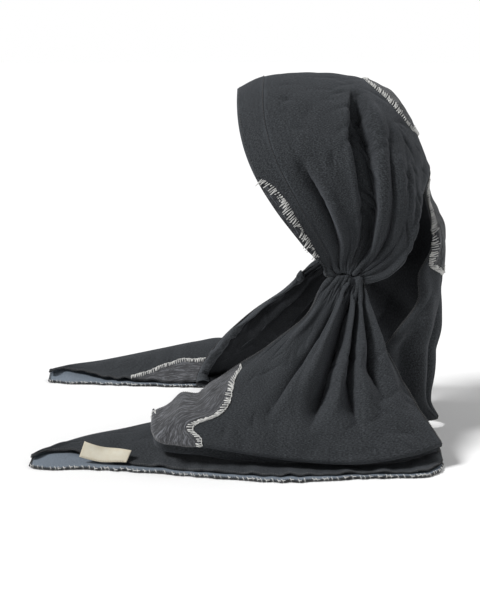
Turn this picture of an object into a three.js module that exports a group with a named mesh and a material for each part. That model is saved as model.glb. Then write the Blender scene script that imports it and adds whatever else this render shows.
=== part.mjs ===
// A pre-tied bandana, shaped as it sits on a head: a deep crown with a stitched face band, gathered
// at both sides of the nape, a loose fall behind, and two long tails whose folded ends lie on a table.
// Millimetres, +Z up. The face looks along -X and the wearer's left side is -Y.
// The origin is the point inside the crown that bears on the top of the head.
import * as THREE from "three";
import { mergeVertices } from "three/addons/utils/BufferGeometryUtils.js";

// Cloth and clearances
const clothWall = 1.5;
const bandWall = 2.2;
const patchWall = 1;
const patchGap = 0.7;
const fallPatchGap = 1.1;
const labelWall = 1;
const elasticWall = 2.4;
const seamGap = 0.5;

// Crown
const headWidth = 152;
const crownReach = 204;
const gatherBack = 46;
const gatherDrop = 187;
const gatherSpacing = 98;
const gatherRadius = 9;
const gatherThickness = 9;
const bandWidth = 29;
const pleatDepth = 10;

// Back fall
const fallLength = 258;
const fallBack = 95;
const fallHalfWidth = 80;

// Tails, and the height of the crown above the table that their ends lie on
const standHeight = 351;
const leftTailForward = 186;
const leftTailBehind = 76;
const leftTailOut = 118;
const leftEndForward = 299;
const rightTailForward = 176;
const rightTailBehind = 66;
const rightTailOut = 166;
const rightEndForward = 326;
const tailFoldDepth = 12;
const rollRadius = 4;

// Nape elastic and label
const elasticWidth = 12;
const labelLength = 44;
const labelHeight = 13;

const cloth = { roughness: 0.95, metalness: 0 };
const blackJersey = new THREE.MeshStandardMaterial({ color: 0x23272a, ...cloth });
const darnedPatch = new THREE.MeshStandardMaterial({ color: 0x4a474e, ...cloth });
const blackElastic = new THREE.MeshStandardMaterial({ color: 0x15171a, ...cloth });
const creamTape = new THREE.MeshStandardMaterial({ color: 0xd9d2bd, ...cloth });

// Small helpers
const radians = THREE.MathUtils.degToRad;
const mix = THREE.MathUtils.lerp;
const ease = THREE.MathUtils.smoothstep;

// The value of one column of a table at a share between its rows, as a smooth curve through them.
function column(rows, place, name, share) {
  let row = 0;
  while (row < rows.length - 2 && share > rows[row + 1][place]) row += 1;
  const value = (index) => rows[THREE.MathUtils.clamp(index, 0, rows.length - 1)];
  const [before, start, end, after] = [-1, 0, 1, 2].map((step) => value(row + step));
  const span = end[place] - start[place];
  const local = THREE.MathUtils.clamp((share - start[place]) / span, 0, 1);
  const slope = (a, b) => (a === b ? 0 : ((b[name] - a[name]) / (b[place] - a[place])) * span);
  const startSlope = slope(before, end);
  const endSlope = slope(start, after);
  const squared = local * local;
  const cubed = squared * local;
  return (
    start[name] * (2 * cubed - 3 * squared + 1) +
    startSlope * (cubed - 2 * squared + local) +
    end[name] * (3 * squared - 2 * cubed) +
    endSlope * (cubed - squared)
  );
}

// The outward normal of a surface, where its first direction crossed with its second points out.
function normalOf(surface, first, second) {
  const step = 2e-3;
  const alongFirst = surface(Math.min(first + step, 1), second);
  alongFirst.sub(surface(Math.max(first - step, 0), second));
  const alongSecond = surface(first, Math.min(second + step, 1));
  alongSecond.sub(surface(first, Math.max(second - step, 0)));
  return alongFirst.cross(alongSecond).normalize();
}

// The same surface pushed out along its normal by a distance that may change over it.
function pushed(surface, distance) {
  return (first, second) => {
    const by = distance(first, second);
    return surface(first, second).addScaledVector(normalOf(surface, first, second), by);
  };
}

// A closed wall of cloth: a thin box whose two long directions are bent onto the surface.
function wallOn(surface, firstSteps, secondSteps, wall, lift = 0) {
  const box = new THREE.BoxGeometry(1, 1, 1, firstSteps, secondSteps, 1);
  box.deleteAttribute("normal");
  box.deleteAttribute("uv");
  const solid = mergeVertices(box);
  const corners = solid.getAttribute("position");
  for (let index = 0; index < corners.count; index += 1) {
    const first = corners.getX(index) + 0.5;
    const second = corners.getY(index) + 0.5;
    const height = lift + corners.getZ(index) * wall;
    const point = surface(first, second).addScaledVector(normalOf(surface, first, second), height);
    corners.setXYZ(index, point.x, point.y, point.z);
  }
  return solid;
}

function piece(name, geometry, material) {
  const mesh = new THREE.Mesh(geometry, material);
  mesh.name = name;
  return mesh;
}

// Crown
// The crown opens like a fan about the line through the two gathers. Each row is one section of it,
// from the face edge to the back edge: its reach from that line, and its half width.
const crownSections = [
  { back: 0, reach: 1, width: 0.94 },
  { back: 0.1, reach: 0.995, width: 0.98 },
  { back: 0.24, reach: 0.955, width: 1.01 },
  { back: 0.36, reach: 0.926, width: 1.02 },
  { back: 0.48, reach: 0.903, width: 1.02 },
  { back: 0.57, reach: 0.877, width: 1.0 },
  { back: 0.64, reach: 0.846, width: 0.98 },
  { back: 0.79, reach: 0.728, width: 0.92 },
  { back: 0.92, reach: 0.642, width: 0.84 },
  { back: 1, reach: 0.613, width: 0.78 },
];

// One section from the left gather to the ridge: shares of the section's reach and half width.
const crownCrossing = [
  { reach: 0.2, width: 0.84 },
  { reach: 0.42, width: 1.0 },
  { reach: 0.64, width: 0.97 },
  { reach: 0.82, width: 0.75 },
  { reach: 0.94, width: 0.44 },
];

// Degrees from straight up, towards the face, of the face edge and the back edge at the ridge, and how
// far the two edges swing down towards the gathers.
const faceLean = 32;
const faceBow = 19.3;
const faceSweep = 45;
const backLean = -41;
const backSweep = 108;
const gatherRim = gatherRadius + seamGap;

const crossingCurve = new THREE.CatmullRomCurve3(
  [
    new THREE.Vector3(0, -gatherSpacing / headWidth, 0),
    ...crownCrossing.map((row) => new THREE.Vector3(row.reach, -row.width, 0)),
    new THREE.Vector3(1, 0, 0),
    ...crownCrossing.map((row) => new THREE.Vector3(row.reach, row.width, 0)).reverse(),
    new THREE.Vector3(0, gatherSpacing / headWidth, 0),
  ],
  false,
  "centripetal",
);

function crossingAt(over) {
  const point = crossingCurve.getPointAt(over);
  return { reach: THREE.MathUtils.clamp(point.x, 0, 1), width: point.y };
}

const frontLean = (reach) => faceLean + faceBow * (1 - reach ** 2.2) + faceSweep * (1 - reach) ** 6;
const rearLean = (reach) => backLean - backSweep * (1 - reach) ** 2;

function hood(back, over) {
  const crossing = crossingAt(over);
  const sectionReach = crownReach * column(crownSections, "back", "reach", back);
  const reach = gatherRim + crossing.reach * (sectionReach - gatherRim);
  const lean = radians(mix(frontLean(crossing.reach), rearLean(crossing.reach), back));
  const width = column(crownSections, "back", "width", back);
  const gathered = mix(1, width, ease(crossing.reach, 0, 0.3));
  return new THREE.Vector3(
    gatherBack - reach * Math.sin(lean),
    (crossing.width * gathered * headWidth) / 2,
    reach * Math.cos(lean) - gatherDrop,
  );
}

// The pleats run from the gathers up the crown. Each row is one of them: where it lies between the
// face edge and the back edge at its top and at its foot, how far up it reaches, its width, and its
// depth (negative goes in).
const crownPleats = [
  { top: 0.12, foot: 0.15, upTo: 0.45, width: 0.022, depth: -0.35 },
  { top: 0.16, foot: 0.21, upTo: 0.5, width: 0.025, depth: 0.35 },
  { top: 0.2, foot: 0.28, upTo: 0.62, width: 0.024, depth: -0.75 },
  { top: 0.26, foot: 0.35, upTo: 0.6, width: 0.035, depth: 0.3 },
  { top: 0.43, foot: 0.39, upTo: 0.95, width: 0.022, depth: 0.45 },
  { top: 0.485, foot: 0.455, upTo: 0.92, width: 0.028, depth: -1.5 },
  { top: 0.555, foot: 0.56, upTo: 0.9, width: 0.028, depth: 0.75 },
  { top: 0.64, foot: 0.66, upTo: 0.85, width: 0.028, depth: -0.4 },
  { top: 0.7, foot: 0.72, upTo: 0.9, width: 0.03, depth: 0.3 },
  { top: 0.77, foot: 0.79, upTo: 0.85, width: 0.03, depth: -0.45 },
  { top: 0.86, foot: 0.88, upTo: 0.8, width: 0.04, depth: 0.5 },
];

function crownFold(back, over) {
  const { reach } = crossingAt(over);
  const fromGather = ease(reach, 0, 0.35);
  let depth = 0;
  for (const pleat of crownPleats) {
    const beside = (back - mix(pleat.foot, pleat.top, reach)) / pleat.width;
    depth += pleat.depth * Math.exp(-beside * beside) * (1 - ease(reach, pleat.upTo - 0.3, pleat.upTo));
  }
  const curl = -0.9 * ease(back, 0.93, 1) * (1 - ease(reach, 0.7, 0.95));
  return pleatDepth * fromGather * (depth + curl);
}

const foldedHood = pushed(hood, crownFold);

// The share of the way back that a length along the ridge takes.
const ridgeLength = crownReach * radians(faceLean - backLean);
const bandShare = bandWidth / ridgeLength;
const inside = (rise) => clothWall / 2 + seamGap + rise / 2;

// Half of the gap at the band's seam, as a share of the way back at that distance from the gathers.
function seamShare(over) {
  const { reach } = crossingAt(over);
  const distance = mix(gatherRim, crownReach, reach);
  return seamGap / 2 / (distance * radians(frontLean(reach) - rearLean(reach)));
}

const bandSurface = (back, over) => foldedHood(back * (bandShare - seamShare(over)), over);
const crownSurface = (back, over) => foldedHood(mix(bandShare + seamShare(over), 1, back), over);

const crownStepsBack = 30;
const crownStepsOver = 24;

function frontBand() {
  return piece("front_band", wallOn(bandSurface, 3, crownStepsOver, bandWall), blackJersey);
}

function crown() {
  return piece("crown", wallOn(crownSurface, crownStepsBack, crownStepsOver, clothWall), blackJersey);
}

// Back fall
// The loose cloth that hangs from inside the crown's back edge and narrows to a curled tip. Each row is
// one level of it: how far down it is, how far behind the gathers its spine and its left and right
// edges lie, and its half width.
const fallLevels = [
  { down: 0, spine: 0.8, left: 0.74, right: 0.7, width: 0.4 },
  { down: 0.12, spine: 0.93, left: 0.82, right: 0.7, width: 0.48 },
  { down: 0.3, spine: 1.0, left: 0.82, right: 0.5, width: 0.5 },
  { down: 0.4, spine: 1.0, left: 0.7, right: 0.25, width: 0.52 },
  { down: 0.5, spine: 0.985, left: 0.68, right: 0.12, width: 0.6 },
  { down: 0.6, spine: 0.96, left: 0.46, right: 0.1, width: 0.76 },
  { down: 0.7, spine: 0.925, left: 0.27, right: 0.2, width: 0.76 },
  { down: 0.82, spine: 0.9, left: 0.36, right: 0.4, width: 0.62 },
  { down: 0.93, spine: 0.9, left: 0.62, right: 0.64, width: 0.36 },
  { down: 1, spine: 0.93, left: 0.84, right: 0.86, width: 0.14 },
];
const fallTop = gatherDrop - 0.5 * crownReach;

function fallBase(down, over) {
  const level = (name) => column(fallLevels, "down", name, down);
  const turn = (over - 0.5) * Math.PI;
  const edge = over < 0.5 ? level("left") : level("right");
  return new THREE.Vector3(
    gatherBack + fallBack * mix(edge, level("spine"), Math.cos(turn) ** 1.2),
    fallHalfWidth * level("width") * Math.sin(turn),
    -fallTop - fallLength * down,
  );
}

// The folds of the fall run down it. Each row is one of them: its place across, where it starts, its
// width and its depth (negative goes in).
const fallFolds = [
  { over: 0.16, from: 0.5, width: 0.05, depth: -0.5 },
  { over: 0.27, from: 0.55, width: 0.05, depth: 0.4 },
  { over: 0.38, from: 0.5, width: 0.05, depth: -0.4 },
  { over: 0.62, from: 0.55, width: 0.05, depth: -0.45 },
  { over: 0.75, from: 0.5, width: 0.05, depth: 0.4 },
  { over: 0.87, from: 0.45, width: 0.05, depth: -0.5 },
];

function fallFold(down, over) {
  let depth = 0;
  for (const fold of fallFolds) {
    const beside = (over - fold.over) / fold.width;
    const along = ease(down, fold.from, fold.from + 0.25) * (1 - ease(down, 0.85, 1));
    depth += fold.depth * Math.exp(-beside * beside) * along;
  }
  return pleatDepth * depth;
}

// Its top lies against the inside of the crown, and below the crown's edge it takes up its own levels.
const tuckShare = 0.08;
const tuckSpread = 0.14;
const foldedFall = pushed(fallBase, fallFold);

function fallSurface(down, over) {
  const crownBack = mix(0.93, 1, Math.min(down / tuckShare, 1));
  const crownOver = mix(0.5 - tuckSpread, 0.5 + tuckSpread, over);
  const tucked = pushed(crownSurface, () => -inside(clothWall))(crownBack, crownOver);
  if (down <= tuckShare) return tucked;
  const below = (down - tuckShare) / (1 - tuckShare);
  const level = mix((-fallTop - tucked.z) / fallLength, 1, below);
  const own = foldedFall(THREE.MathUtils.clamp(level, 0, 1), over);
  tucked.z = own.z;
  return tucked.lerp(own, ease(below, 0.02, 0.22));
}

function backFall() {
  return piece("back_fall", wallOn(fallSurface, 20, 12, clothWall), blackJersey);
}

// Gathers and nape elastic
// Each gather is a small ruffled ball of bunched cloth, and the elastic runs between the two.
const ruffles = 11;
const ruffleDepth = 0.13;

function gather(name, side) {
  const ball = new THREE.SphereGeometry(gatherRadius, ruffles * 3, 8);
  ball.deleteAttribute("normal");
  ball.deleteAttribute("uv");
  const points = ball.getAttribute("position");
  for (let index = 0; index < points.count; index += 1) {
    const turn = Math.atan2(points.getZ(index), points.getX(index));
    const pinch = 1 - ruffleDepth * (0.5 - 0.5 * Math.cos(turn * ruffles));
    points.setX(index, points.getX(index) * pinch);
    points.setZ(index, points.getZ(index) * pinch);
  }
  ball.scale(1, gatherThickness / (2 * gatherRadius), 1);
  ball.translate(gatherBack, (side * gatherSpacing) / 2, -gatherDrop);
  return piece(name, mergeVertices(ball, 1e-2), blackJersey);
}

const elasticBow = 10;
function elasticSurface(across, over) {
  const halfRun = gatherSpacing / 2 - gatherThickness / 2 - seamGap;
  const bow = elasticBow * (1 - (2 * over - 1) ** 2);
  return new THREE.Vector3(
    gatherBack + bow,
    mix(-halfRun, halfRun, over),
    -gatherDrop - (across - 0.5) * -elasticWidth,
  );
}

function napeElastic() {
  return piece("nape_elastic", wallOn(elasticSurface, 2, 14, elasticWall), blackElastic);
}

// Tail ends
// Each end is a corner of cloth folded double on the table, wrong side in. A row is a section across
// it: how far ahead of the gathers it lies, how far out the hem of the lower layer and the folded edge
// lie, how far the upper layer stops short of the hem, the height of the folded edge, and how much of
// that height the lower layer takes too.
const leftEndSections = [
  { ahead: 1, hem: 0.74, step: 0.1, fold: 0.6, height: 0.035, low: 0.5 },
  { ahead: 0.965, hem: 0.8, step: 0.25, fold: 0.5, height: 0.05, low: 0.6 },
  { ahead: 0.9, hem: 0.8, step: 0.3, fold: 0.42, height: 0.075, low: 0.5 },
  { ahead: 0.83, hem: 0.8, step: 0.2, fold: 0.36, height: 0.1, low: 0.2 },
  { ahead: 0.74, hem: 0.825, step: 0.13, fold: 0.3, height: 0.12, low: 0 },
  { ahead: 0.57, hem: 0.92, step: 0.15, fold: 0.12, height: 0.14, low: 0 },
  { ahead: 0.36, hem: 1.05, step: 0.14, fold: 0.14, height: 0.085, low: 0 },
  { ahead: 0.2, hem: 1.1, step: 0.16, fold: 0.25, height: 0.06, low: 0 },
  { ahead: 0, hem: 1.02, step: 0.1, fold: 0.3, height: 0.05, low: 0 },
  { ahead: -0.2, hem: 0.975, step: 0.1, fold: 0.4, height: 0.055, low: 0 },
  { ahead: -0.25, hem: 0.87, step: 0.12, fold: 0.5, height: 0.055, low: 0 },
  { ahead: -0.27, hem: 0.7, step: 0.08, fold: 0.5, height: 0.05, low: 0 },
];
const rightEndSections = [
  { ahead: 1, hem: 0.74, step: 0.05, fold: 0.84, height: 0.06, low: 0.9 },
  { ahead: 0.94, hem: 0.7, step: 0.16, fold: 0.9, height: 0.08, low: 0.8 },
  { ahead: 0.82, hem: 0.67, step: 0.08, fold: 0.92, height: 0.11, low: 0.3 },
  { ahead: 0.61, hem: 0.62, step: 0.05, fold: 0.94, height: 0.17, low: 0 },
  { ahead: 0.48, hem: 0.6, step: 0.05, fold: 0.92, height: 0.15, low: 0 },
  { ahead: 0.3, hem: 0.56, step: 0.05, fold: 0.95, height: 0.05, low: 0 },
  { ahead: 0, hem: 0.6, step: 0.05, fold: 1.0, height: 0.05, low: 0 },
  { ahead: -0.17, hem: 0.62, step: 0.05, fold: 0.92, height: 0.05, low: 0 },
];
const hangHeight = standHeight - gatherDrop;
const tableTop = -standHeight;
const lowerLayer = tableTop + clothWall / 2;
const upperLayer = lowerLayer + clothWall + seamGap;

// Shares of the way around an end: the upper layer, the folded edge, and then the lower layer.
const upperShare = 0.45;
const creaseShare = 0.6;

function endShape(sections, side, forward, out) {
  const rows = sections.map((row) => ({ ...row, behind: -row.ahead }));
  const first = sections[0].ahead;
  const last = sections[sections.length - 1].ahead;
  const level = (name, ahead) => column(rows, "behind", name, -ahead);
  const outTo = (share) => side * (gatherSpacing / 2 + out * share);
  const inward = (ahead) => Math.sign(level("fold", ahead) - level("hem", ahead));
  const upper = (ahead, share) => {
    const start = level("hem", ahead) + inward(ahead) * level("step", ahead);
    const low = upperLayer + hangHeight * level("height", ahead) * level("low", ahead) * 0.7;
    const high = Math.max(tableTop + hangHeight * level("height", ahead), upperLayer + clothWall);
    return new THREE.Vector3(
      gatherBack - forward * ahead,
      outTo(mix(start, level("fold", ahead), share)),
      mix(Math.min(low, high), high, Math.sin((share * Math.PI) / 2)),
    );
  };
  const surface = (along, around) => {
    const ahead = mix(first, last, along);
    if (around < upperShare) return upper(ahead, around / upperShare);
    const crease = upper(ahead, 1);
    const lowerCrease = mix(lowerLayer, crease.z - clothWall - seamGap, level("low", ahead));
    const radius = (crease.z - lowerCrease) / 2;
    if (around < creaseShare) {
      const turn = ((around - upperShare) / (creaseShare - upperShare)) * Math.PI;
      crease.y += side * inward(ahead) * radius * Math.sin(turn) * 0.8;
      crease.z = lowerCrease + radius * (1 + Math.cos(turn));
      return crease;
    }
    const under = (around - creaseShare) / (1 - creaseShare);
    crease.y = mix(crease.y, outTo(level("hem", ahead)), under);
    crease.z = mix(lowerLayer, lowerCrease, (1 - under) ** 2);
    return crease;
  };
  return { surface, upper, first, last };
}

const leftEnd = endShape(leftEndSections, -1, leftEndForward, leftTailOut);
const rightEnd = endShape(rightEndSections, 1, rightEndForward, rightTailOut);

// Tails
// Each tail spreads from its gather like a fan and breaks just above the table. A row is one line down
// it: the direction in which it leaves the gather, where it breaks, and the point it swings through.
const leftTailLines = [
  { at: 0, leaves: 150, ahead: 1, out: 0.62, rise: 0.27, midAhead: 0.43, midOut: 0.62, midRise: 0.59 },
  { at: 0.12, leaves: 158, ahead: 0.97, out: 0.86, rise: 0.18, midAhead: 0.42, midOut: 0.7, midRise: 0.56 },
  { at: 0.28, leaves: 168, ahead: 0.74, out: 0.92, rise: 0.15, midAhead: 0.34, midOut: 0.74, midRise: 0.55 },
  { at: 0.44, leaves: 176, ahead: 0.52, out: 0.97, rise: 0.11, midAhead: 0.25, midOut: 0.74, midRise: 0.55 },
  { at: 0.6, leaves: 184, ahead: 0.28, out: 1, rise: 0.075, midAhead: 0.15, midOut: 0.72, midRise: 0.55 },
  { at: 0.76, leaves: 188, ahead: 0, out: 1, rise: 0.06, midAhead: 0.04, midOut: 0.66, midRise: 0.55 },
  { at: 0.9, leaves: 194, ahead: -0.25, out: 0.93, rise: 0.09, midAhead: -0.07, midOut: 0.55, midRise: 0.58 },
  { at: 1, leaves: 200, ahead: -0.41, out: 0.72, rise: 0.11, midAhead: -0.14, midOut: 0.4, midRise: 0.58 },
];
const rightTailLines = [
  { at: 0, leaves: 150, ahead: 1, out: 0.82, rise: 0.22, midAhead: 0.62, midOut: 0.2, midRise: 0.49 },
  { at: 0.1, leaves: 154, ahead: 0.87, out: 0.68, rise: 0.12, midAhead: 0.58, midOut: 0.2, midRise: 0.5 },
  { at: 0.2, leaves: 158, ahead: 0.8, out: 0.6, rise: 0.05, midAhead: 0.52, midOut: 0.2, midRise: 0.5 },
  { at: 0.36, leaves: 168, ahead: 0.62, out: 0.64, rise: 0.08, midAhead: 0.38, midOut: 0.36, midRise: 0.56 },
  { at: 0.56, leaves: 180, ahead: 0.34, out: 0.78, rise: 0.08, midAhead: 0.2, midOut: 0.45, midRise: 0.55 },
  { at: 0.78, leaves: 190, ahead: 0, out: 0.84, rise: 0.08, midAhead: 0.02, midOut: 0.4, midRise: 0.55 },
  { at: 1, leaves: 200, ahead: -0.36, out: 0.6, rise: 0.1, midAhead: -0.1, midOut: 0.2, midRise: 0.54 },
];

// The folds of the tails. A row gives a fold's place at the gather and at the break, how far down it
// starts and ends, its width and its depth (negative goes in).
const leftTailFolds = [
  { top: 0.12, foot: 0.3, from: 0.02, to: 0.8, width: 0.045, depth: -0.9 },
  { top: 0.3, foot: 0.4, from: 0.02, to: 0.9, width: 0.05, depth: 0.6 },
  { top: 0.46, foot: 0.52, from: 0.04, to: 0.95, width: 0.04, depth: -0.9 },
  { top: 0.56, foot: 0.6, from: 0.1, to: 0.9, width: 0.04, depth: 0.4 },
  { top: 0.66, foot: 0.66, from: 0.06, to: 0.9, width: 0.035, depth: -0.7 },
  { top: 0.8, foot: 0.76, from: 0.05, to: 0.75, width: 0.04, depth: 0.7 },
  { top: 0.9, foot: 0.85, from: 0.1, to: 0.8, width: 0.035, depth: -0.6 },
];
const rightTailFolds = [
  { top: 0.2, foot: 0.25, from: 0.05, to: 0.9, width: 0.05, depth: -0.5 },
  { top: 0.42, foot: 0.44, from: 0.05, to: 0.9, width: 0.05, depth: 0.6 },
  { top: 0.6, foot: 0.62, from: 0.05, to: 0.95, width: 0.05, depth: -0.7 },
  { top: 0.8, foot: 0.8, from: 0.05, to: 0.9, width: 0.05, depth: 0.5 },
];

// The height at which cloth rests on a tail's end, at a point over it.
function restOn(end, forward, point) {
  const clamp = THREE.MathUtils.clamp;
  const ahead = clamp((gatherBack - point.x) / forward, end.last, end.first);
  const hem = end.upper(ahead, 0);
  const crease = end.upper(ahead, 1);
  const share = clamp((point.y - hem.y) / (crease.y - hem.y), 0, 1);
  return end.upper(ahead, share).z + clothWall + seamGap;
}

// How much of the sheet hangs above the break; the rest rolls under and comes down on the tail's end.
const hangShare = 0.84;
const rollShare = 0.6;
const mostDrop = 16;

function tailShape(lines, folds, side, forward, behind, out, end, endForward) {
  const aheadOf = (share) => (share >= 0 ? share * forward : (share / 0.4) * behind);
  const outTo = (share) => side * (gatherSpacing / 2 + out * share);
  const base = (across, down) => {
    const line = (name) => column(lines, "at", name, across);
    const leaves = radians(line("leaves"));
    const start = new THREE.Vector3(
      gatherBack - gatherRim * Math.sin(leaves),
      (side * gatherSpacing) / 2,
      gatherRim * Math.cos(leaves) - gatherDrop,
    );
    const swing = new THREE.Vector3(
      gatherBack - aheadOf(line("midAhead")),
      outTo(line("midOut")),
      tableTop + hangHeight * line("midRise"),
    );
    const foot = new THREE.Vector3(
      gatherBack - aheadOf(line("ahead")),
      outTo(line("out")),
      tableTop + hangHeight * line("rise") + rollRadius,
    );
    return new THREE.QuadraticBezierCurve3(start, swing, foot).getPoint(down);
  };
  const fold = (across, down) => {
    let depth = 0;
    for (const row of folds) {
      const beside = (across - mix(row.top, row.foot, down)) / row.width;
      const length = ease(down, row.from, row.from + 0.35) * (1 - ease(down, row.to - 0.25, row.to));
      depth += row.depth * Math.exp(-beside * beside) * length;
    }
    return side * tailFoldDepth * depth;
  };
  const hanging = pushed(base, fold);
  return (across, down) => {
    if (down <= hangShare) return hanging(across, down / hangShare);
    const point = hanging(across, 1);
    const roll = (down - hangShare) / (1 - hangShare);
    const turn = Math.min(roll / rollShare, 1) * Math.PI;
    const onward = Math.max((roll - rollShare) / (1 - rollShare), 0);
    point.y -= side * rollRadius * (1 - Math.cos(turn) + 2 * onward);
    point.z -= rollRadius * Math.sin(turn);
    const drop = Math.min(point.z - restOn(end, endForward, point), mostDrop);
    point.z -= drop * ease(onward, 0, 1);
    return point;
  };
}

const leftTailSurface = tailShape(
  leftTailLines, leftTailFolds, -1, leftTailForward, leftTailBehind, leftTailOut,
  leftEnd, leftEndForward,
);
const rightTailSurface = tailShape(
  rightTailLines, rightTailFolds, 1, rightTailForward, rightTailBehind, rightTailOut,
  rightEnd, rightEndForward,
);

function tailPiece(name, surface, stepsAcross, stepsDown) {
  return piece(name, wallOn(surface, stepsAcross, stepsDown, clothWall), blackJersey);
}

// Patches
// Each patch is cloth laid on a piece. A row is one line across the patch: its place along the patch as
// a share of the piece's own direction, and where the patch starts and stops across it.
const templePatchLines = [
  { over: 0.045, low: 0.01, high: 0.1 },
  { over: 0.085, low: 0.01, high: 0.38 },
  { over: 0.12, low: 0.01, high: 0.48 },
  { over: 0.156, low: 0.01, high: 0.55 },
  { over: 0.187, low: 0.01, high: 0.42 },
  { over: 0.208, low: 0.01, high: 0.1 },
];
const crownTopPatchLines = [
  { back: 0.437, low: 0.47, high: 0.53 },
  { back: 0.5, low: 0.42, high: 0.57 },
  { back: 0.6, low: 0.382, high: 0.6 },
  { back: 0.69, low: 0.385, high: 0.6 },
  { back: 0.775, low: 0.46, high: 0.54 },
];
const fallPatchLines = [
  { down: 0.15, low: 0.1, high: 0.86 },
  { down: 0.22, low: 0.04, high: 0.84 },
  { down: 0.34, low: 0.04, high: 0.76 },
  { down: 0.39, low: 0.14, high: 0.66 },
  { down: 0.43, low: 0.34, high: 0.52 },
];
const leftTailPatchLines = [
  { down: 0.5, low: 0.006, high: 0.03 },
  { down: 0.55, low: 0.006, high: 0.12 },
  { down: 0.62, low: 0.006, high: 0.195 },
  { down: 0.69, low: 0.006, high: 0.215 },
  { down: 0.76, low: 0.006, high: 0.18 },
  { down: 0.83, low: 0.006, high: 0.27 },
];
const rightTailPatchLines = [
  { ahead: 0.7, low: 0.02, high: 0.06 },
  { ahead: 0.63, low: 0.02, high: 0.3 },
  { ahead: 0.55, low: 0.02, high: 0.5 },
  { ahead: 0.48, low: 0.02, high: 0.55 },
  { ahead: 0.43, low: 0.02, high: 0.5 },
];

// A patch that lies on a piece, on the side that its normal points to, or on the other side where face
// is -1. Place gives the piece's two shares for a row's own values.
function patchOn(base, baseWall, rows, along, place, face = 1, gap = patchGap) {
  const lifted = pushed(base, () => face * (baseWall / 2 + gap + patchWall / 2));
  const first = rows[0][along];
  const last = rows[rows.length - 1][along];
  return (share, across) => {
    const at = mix(first, last, share);
    const low = column(rows, along, "low", at);
    const high = column(rows, along, "high", at);
    return lifted(...place(at, mix(low, high, across)));
  };
}

function darned(name, surface, steps, stepsAcross) {
  return piece(name, wallOn(surface, steps, stepsAcross, patchWall), darnedPatch);
}

const templePatch = patchOn(
  bandSurface, bandWall, templePatchLines, "over", (over, back) => [back, over],
);
const crownTopPatch = patchOn(
  crownSurface, clothWall, crownTopPatchLines, "back", (back, over) => [back, over],
);
const fallPatch = patchOn(
  fallSurface, clothWall, fallPatchLines, "down", (down, over) => [down, over], 1, fallPatchGap,
);
const leftTailPatch = patchOn(
  leftTailSurface, clothWall, leftTailPatchLines, "down", (down, across) => [across, down], -1,
);
const rightEndRows = rightTailPatchLines.map((row) => ({ ...row, ahead: -row.ahead }));
const rightTailPatch = patchOn(rightEnd.surface, clothWall, rightEndRows, "ahead", (behind, across) => [
  (-behind - rightEnd.first) / (rightEnd.last - rightEnd.first),
  across * upperShare,
]);

// Label
// A blank woven label that stands up from the hem of the left end and sags between its two corners.
const labelAhead = 0.775;
const labelOut = 0.695;
const labelLean = 30;
const labelSag = 3.5;

function labelSurface(along, up) {
  const height = labelHeight * up;
  const sag = labelSag * (2 * along - 1) ** 2;
  return new THREE.Vector3(
    gatherBack - leftEndForward * labelAhead + labelLength * (along - 0.5),
    -gatherSpacing / 2 - leftTailOut * labelOut + height * Math.sin(radians(labelLean)),
    upperLayer + labelWall / 2 + sag + height * Math.cos(radians(labelLean)),
  );
}

const part = new THREE.Group();
part.add(
  frontBand(),
  crown(),
  backFall(),
  gather("left_gather", -1),
  gather("right_gather", 1),
  napeElastic(),
  tailPiece("left_tail", leftTailSurface, 25, 16),
  tailPiece("right_tail", rightTailSurface, 20, 14),
  tailPiece("left_tail_end", leftEnd.surface, 16, 13),
  tailPiece("right_tail_end", rightEnd.surface, 14, 12),
  darned("temple_patch", templePatch, 10, 4),
  darned("crown_top_patch", crownTopPatch, 8, 6),
  darned("fall_patch", fallPatch, 10, 12),
  darned("left_tail_patch", leftTailPatch, 10, 6),
  darned("right_tail_patch", rightTailPatch, 8, 4),
  piece("label", wallOn(labelSurface, 8, 2, labelWall), creamTape),
);

export default part;
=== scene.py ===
# A pre-tied bandana in worn black jersey: a stitched crown gathered at both sides of the nape, a loose
# fall behind, and two long tails whose folded ends lie on a table.
# Shapes are worked out in millimetres, +Z up. The band is at -X, the fall at +X and the left side at -Y,
# and the origin is the highest point inside the crown.
import math

import bpy
import numpy as np
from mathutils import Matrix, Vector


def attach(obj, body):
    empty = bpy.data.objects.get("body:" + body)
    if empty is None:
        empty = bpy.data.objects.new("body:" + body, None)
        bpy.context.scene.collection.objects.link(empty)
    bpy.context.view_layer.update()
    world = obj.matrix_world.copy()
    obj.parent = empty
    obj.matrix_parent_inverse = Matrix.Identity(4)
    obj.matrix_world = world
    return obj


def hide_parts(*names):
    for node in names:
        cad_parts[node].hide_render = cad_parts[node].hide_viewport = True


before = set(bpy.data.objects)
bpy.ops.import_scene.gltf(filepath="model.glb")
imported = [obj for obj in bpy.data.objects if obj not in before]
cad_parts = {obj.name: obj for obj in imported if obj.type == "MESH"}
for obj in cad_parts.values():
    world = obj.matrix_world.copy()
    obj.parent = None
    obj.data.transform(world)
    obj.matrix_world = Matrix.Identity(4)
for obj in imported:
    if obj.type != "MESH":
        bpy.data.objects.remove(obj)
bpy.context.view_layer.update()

MM = 0.001

# Cloth
jersey_wall = 1.1
band_wall = 2.1
patch_wall = 0.8
elastic_wall = 1.6
label_wall = 0.6
cloth_wall = 1.5
seam_gap = 0.5

# Crown
head_width = 152
crown_reach = 204
gather_back = 46
gather_drop = 187
gather_spacing = 98
gather_radius = 9
gather_thickness = 9
pinch_radius = 1.2
pinch_forward = 17
pinch_backward = 9
pucker_height = 1.3
lobe_overlap = 4
band_width = 29
pleat_depth = 10

# Back fall
fall_length = 258
fall_back = 95
fall_half_width = 80

# Tails, and the height of the crown above the table
stand_height = 351
left_tail_forward = 186
left_tail_behind = 76
left_tail_out = 118
left_end_forward = 299
right_tail_forward = 176
right_tail_behind = 66
right_tail_out = 166
right_end_forward = 326
tail_fold_depth = 12
roll_radius = 4

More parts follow.
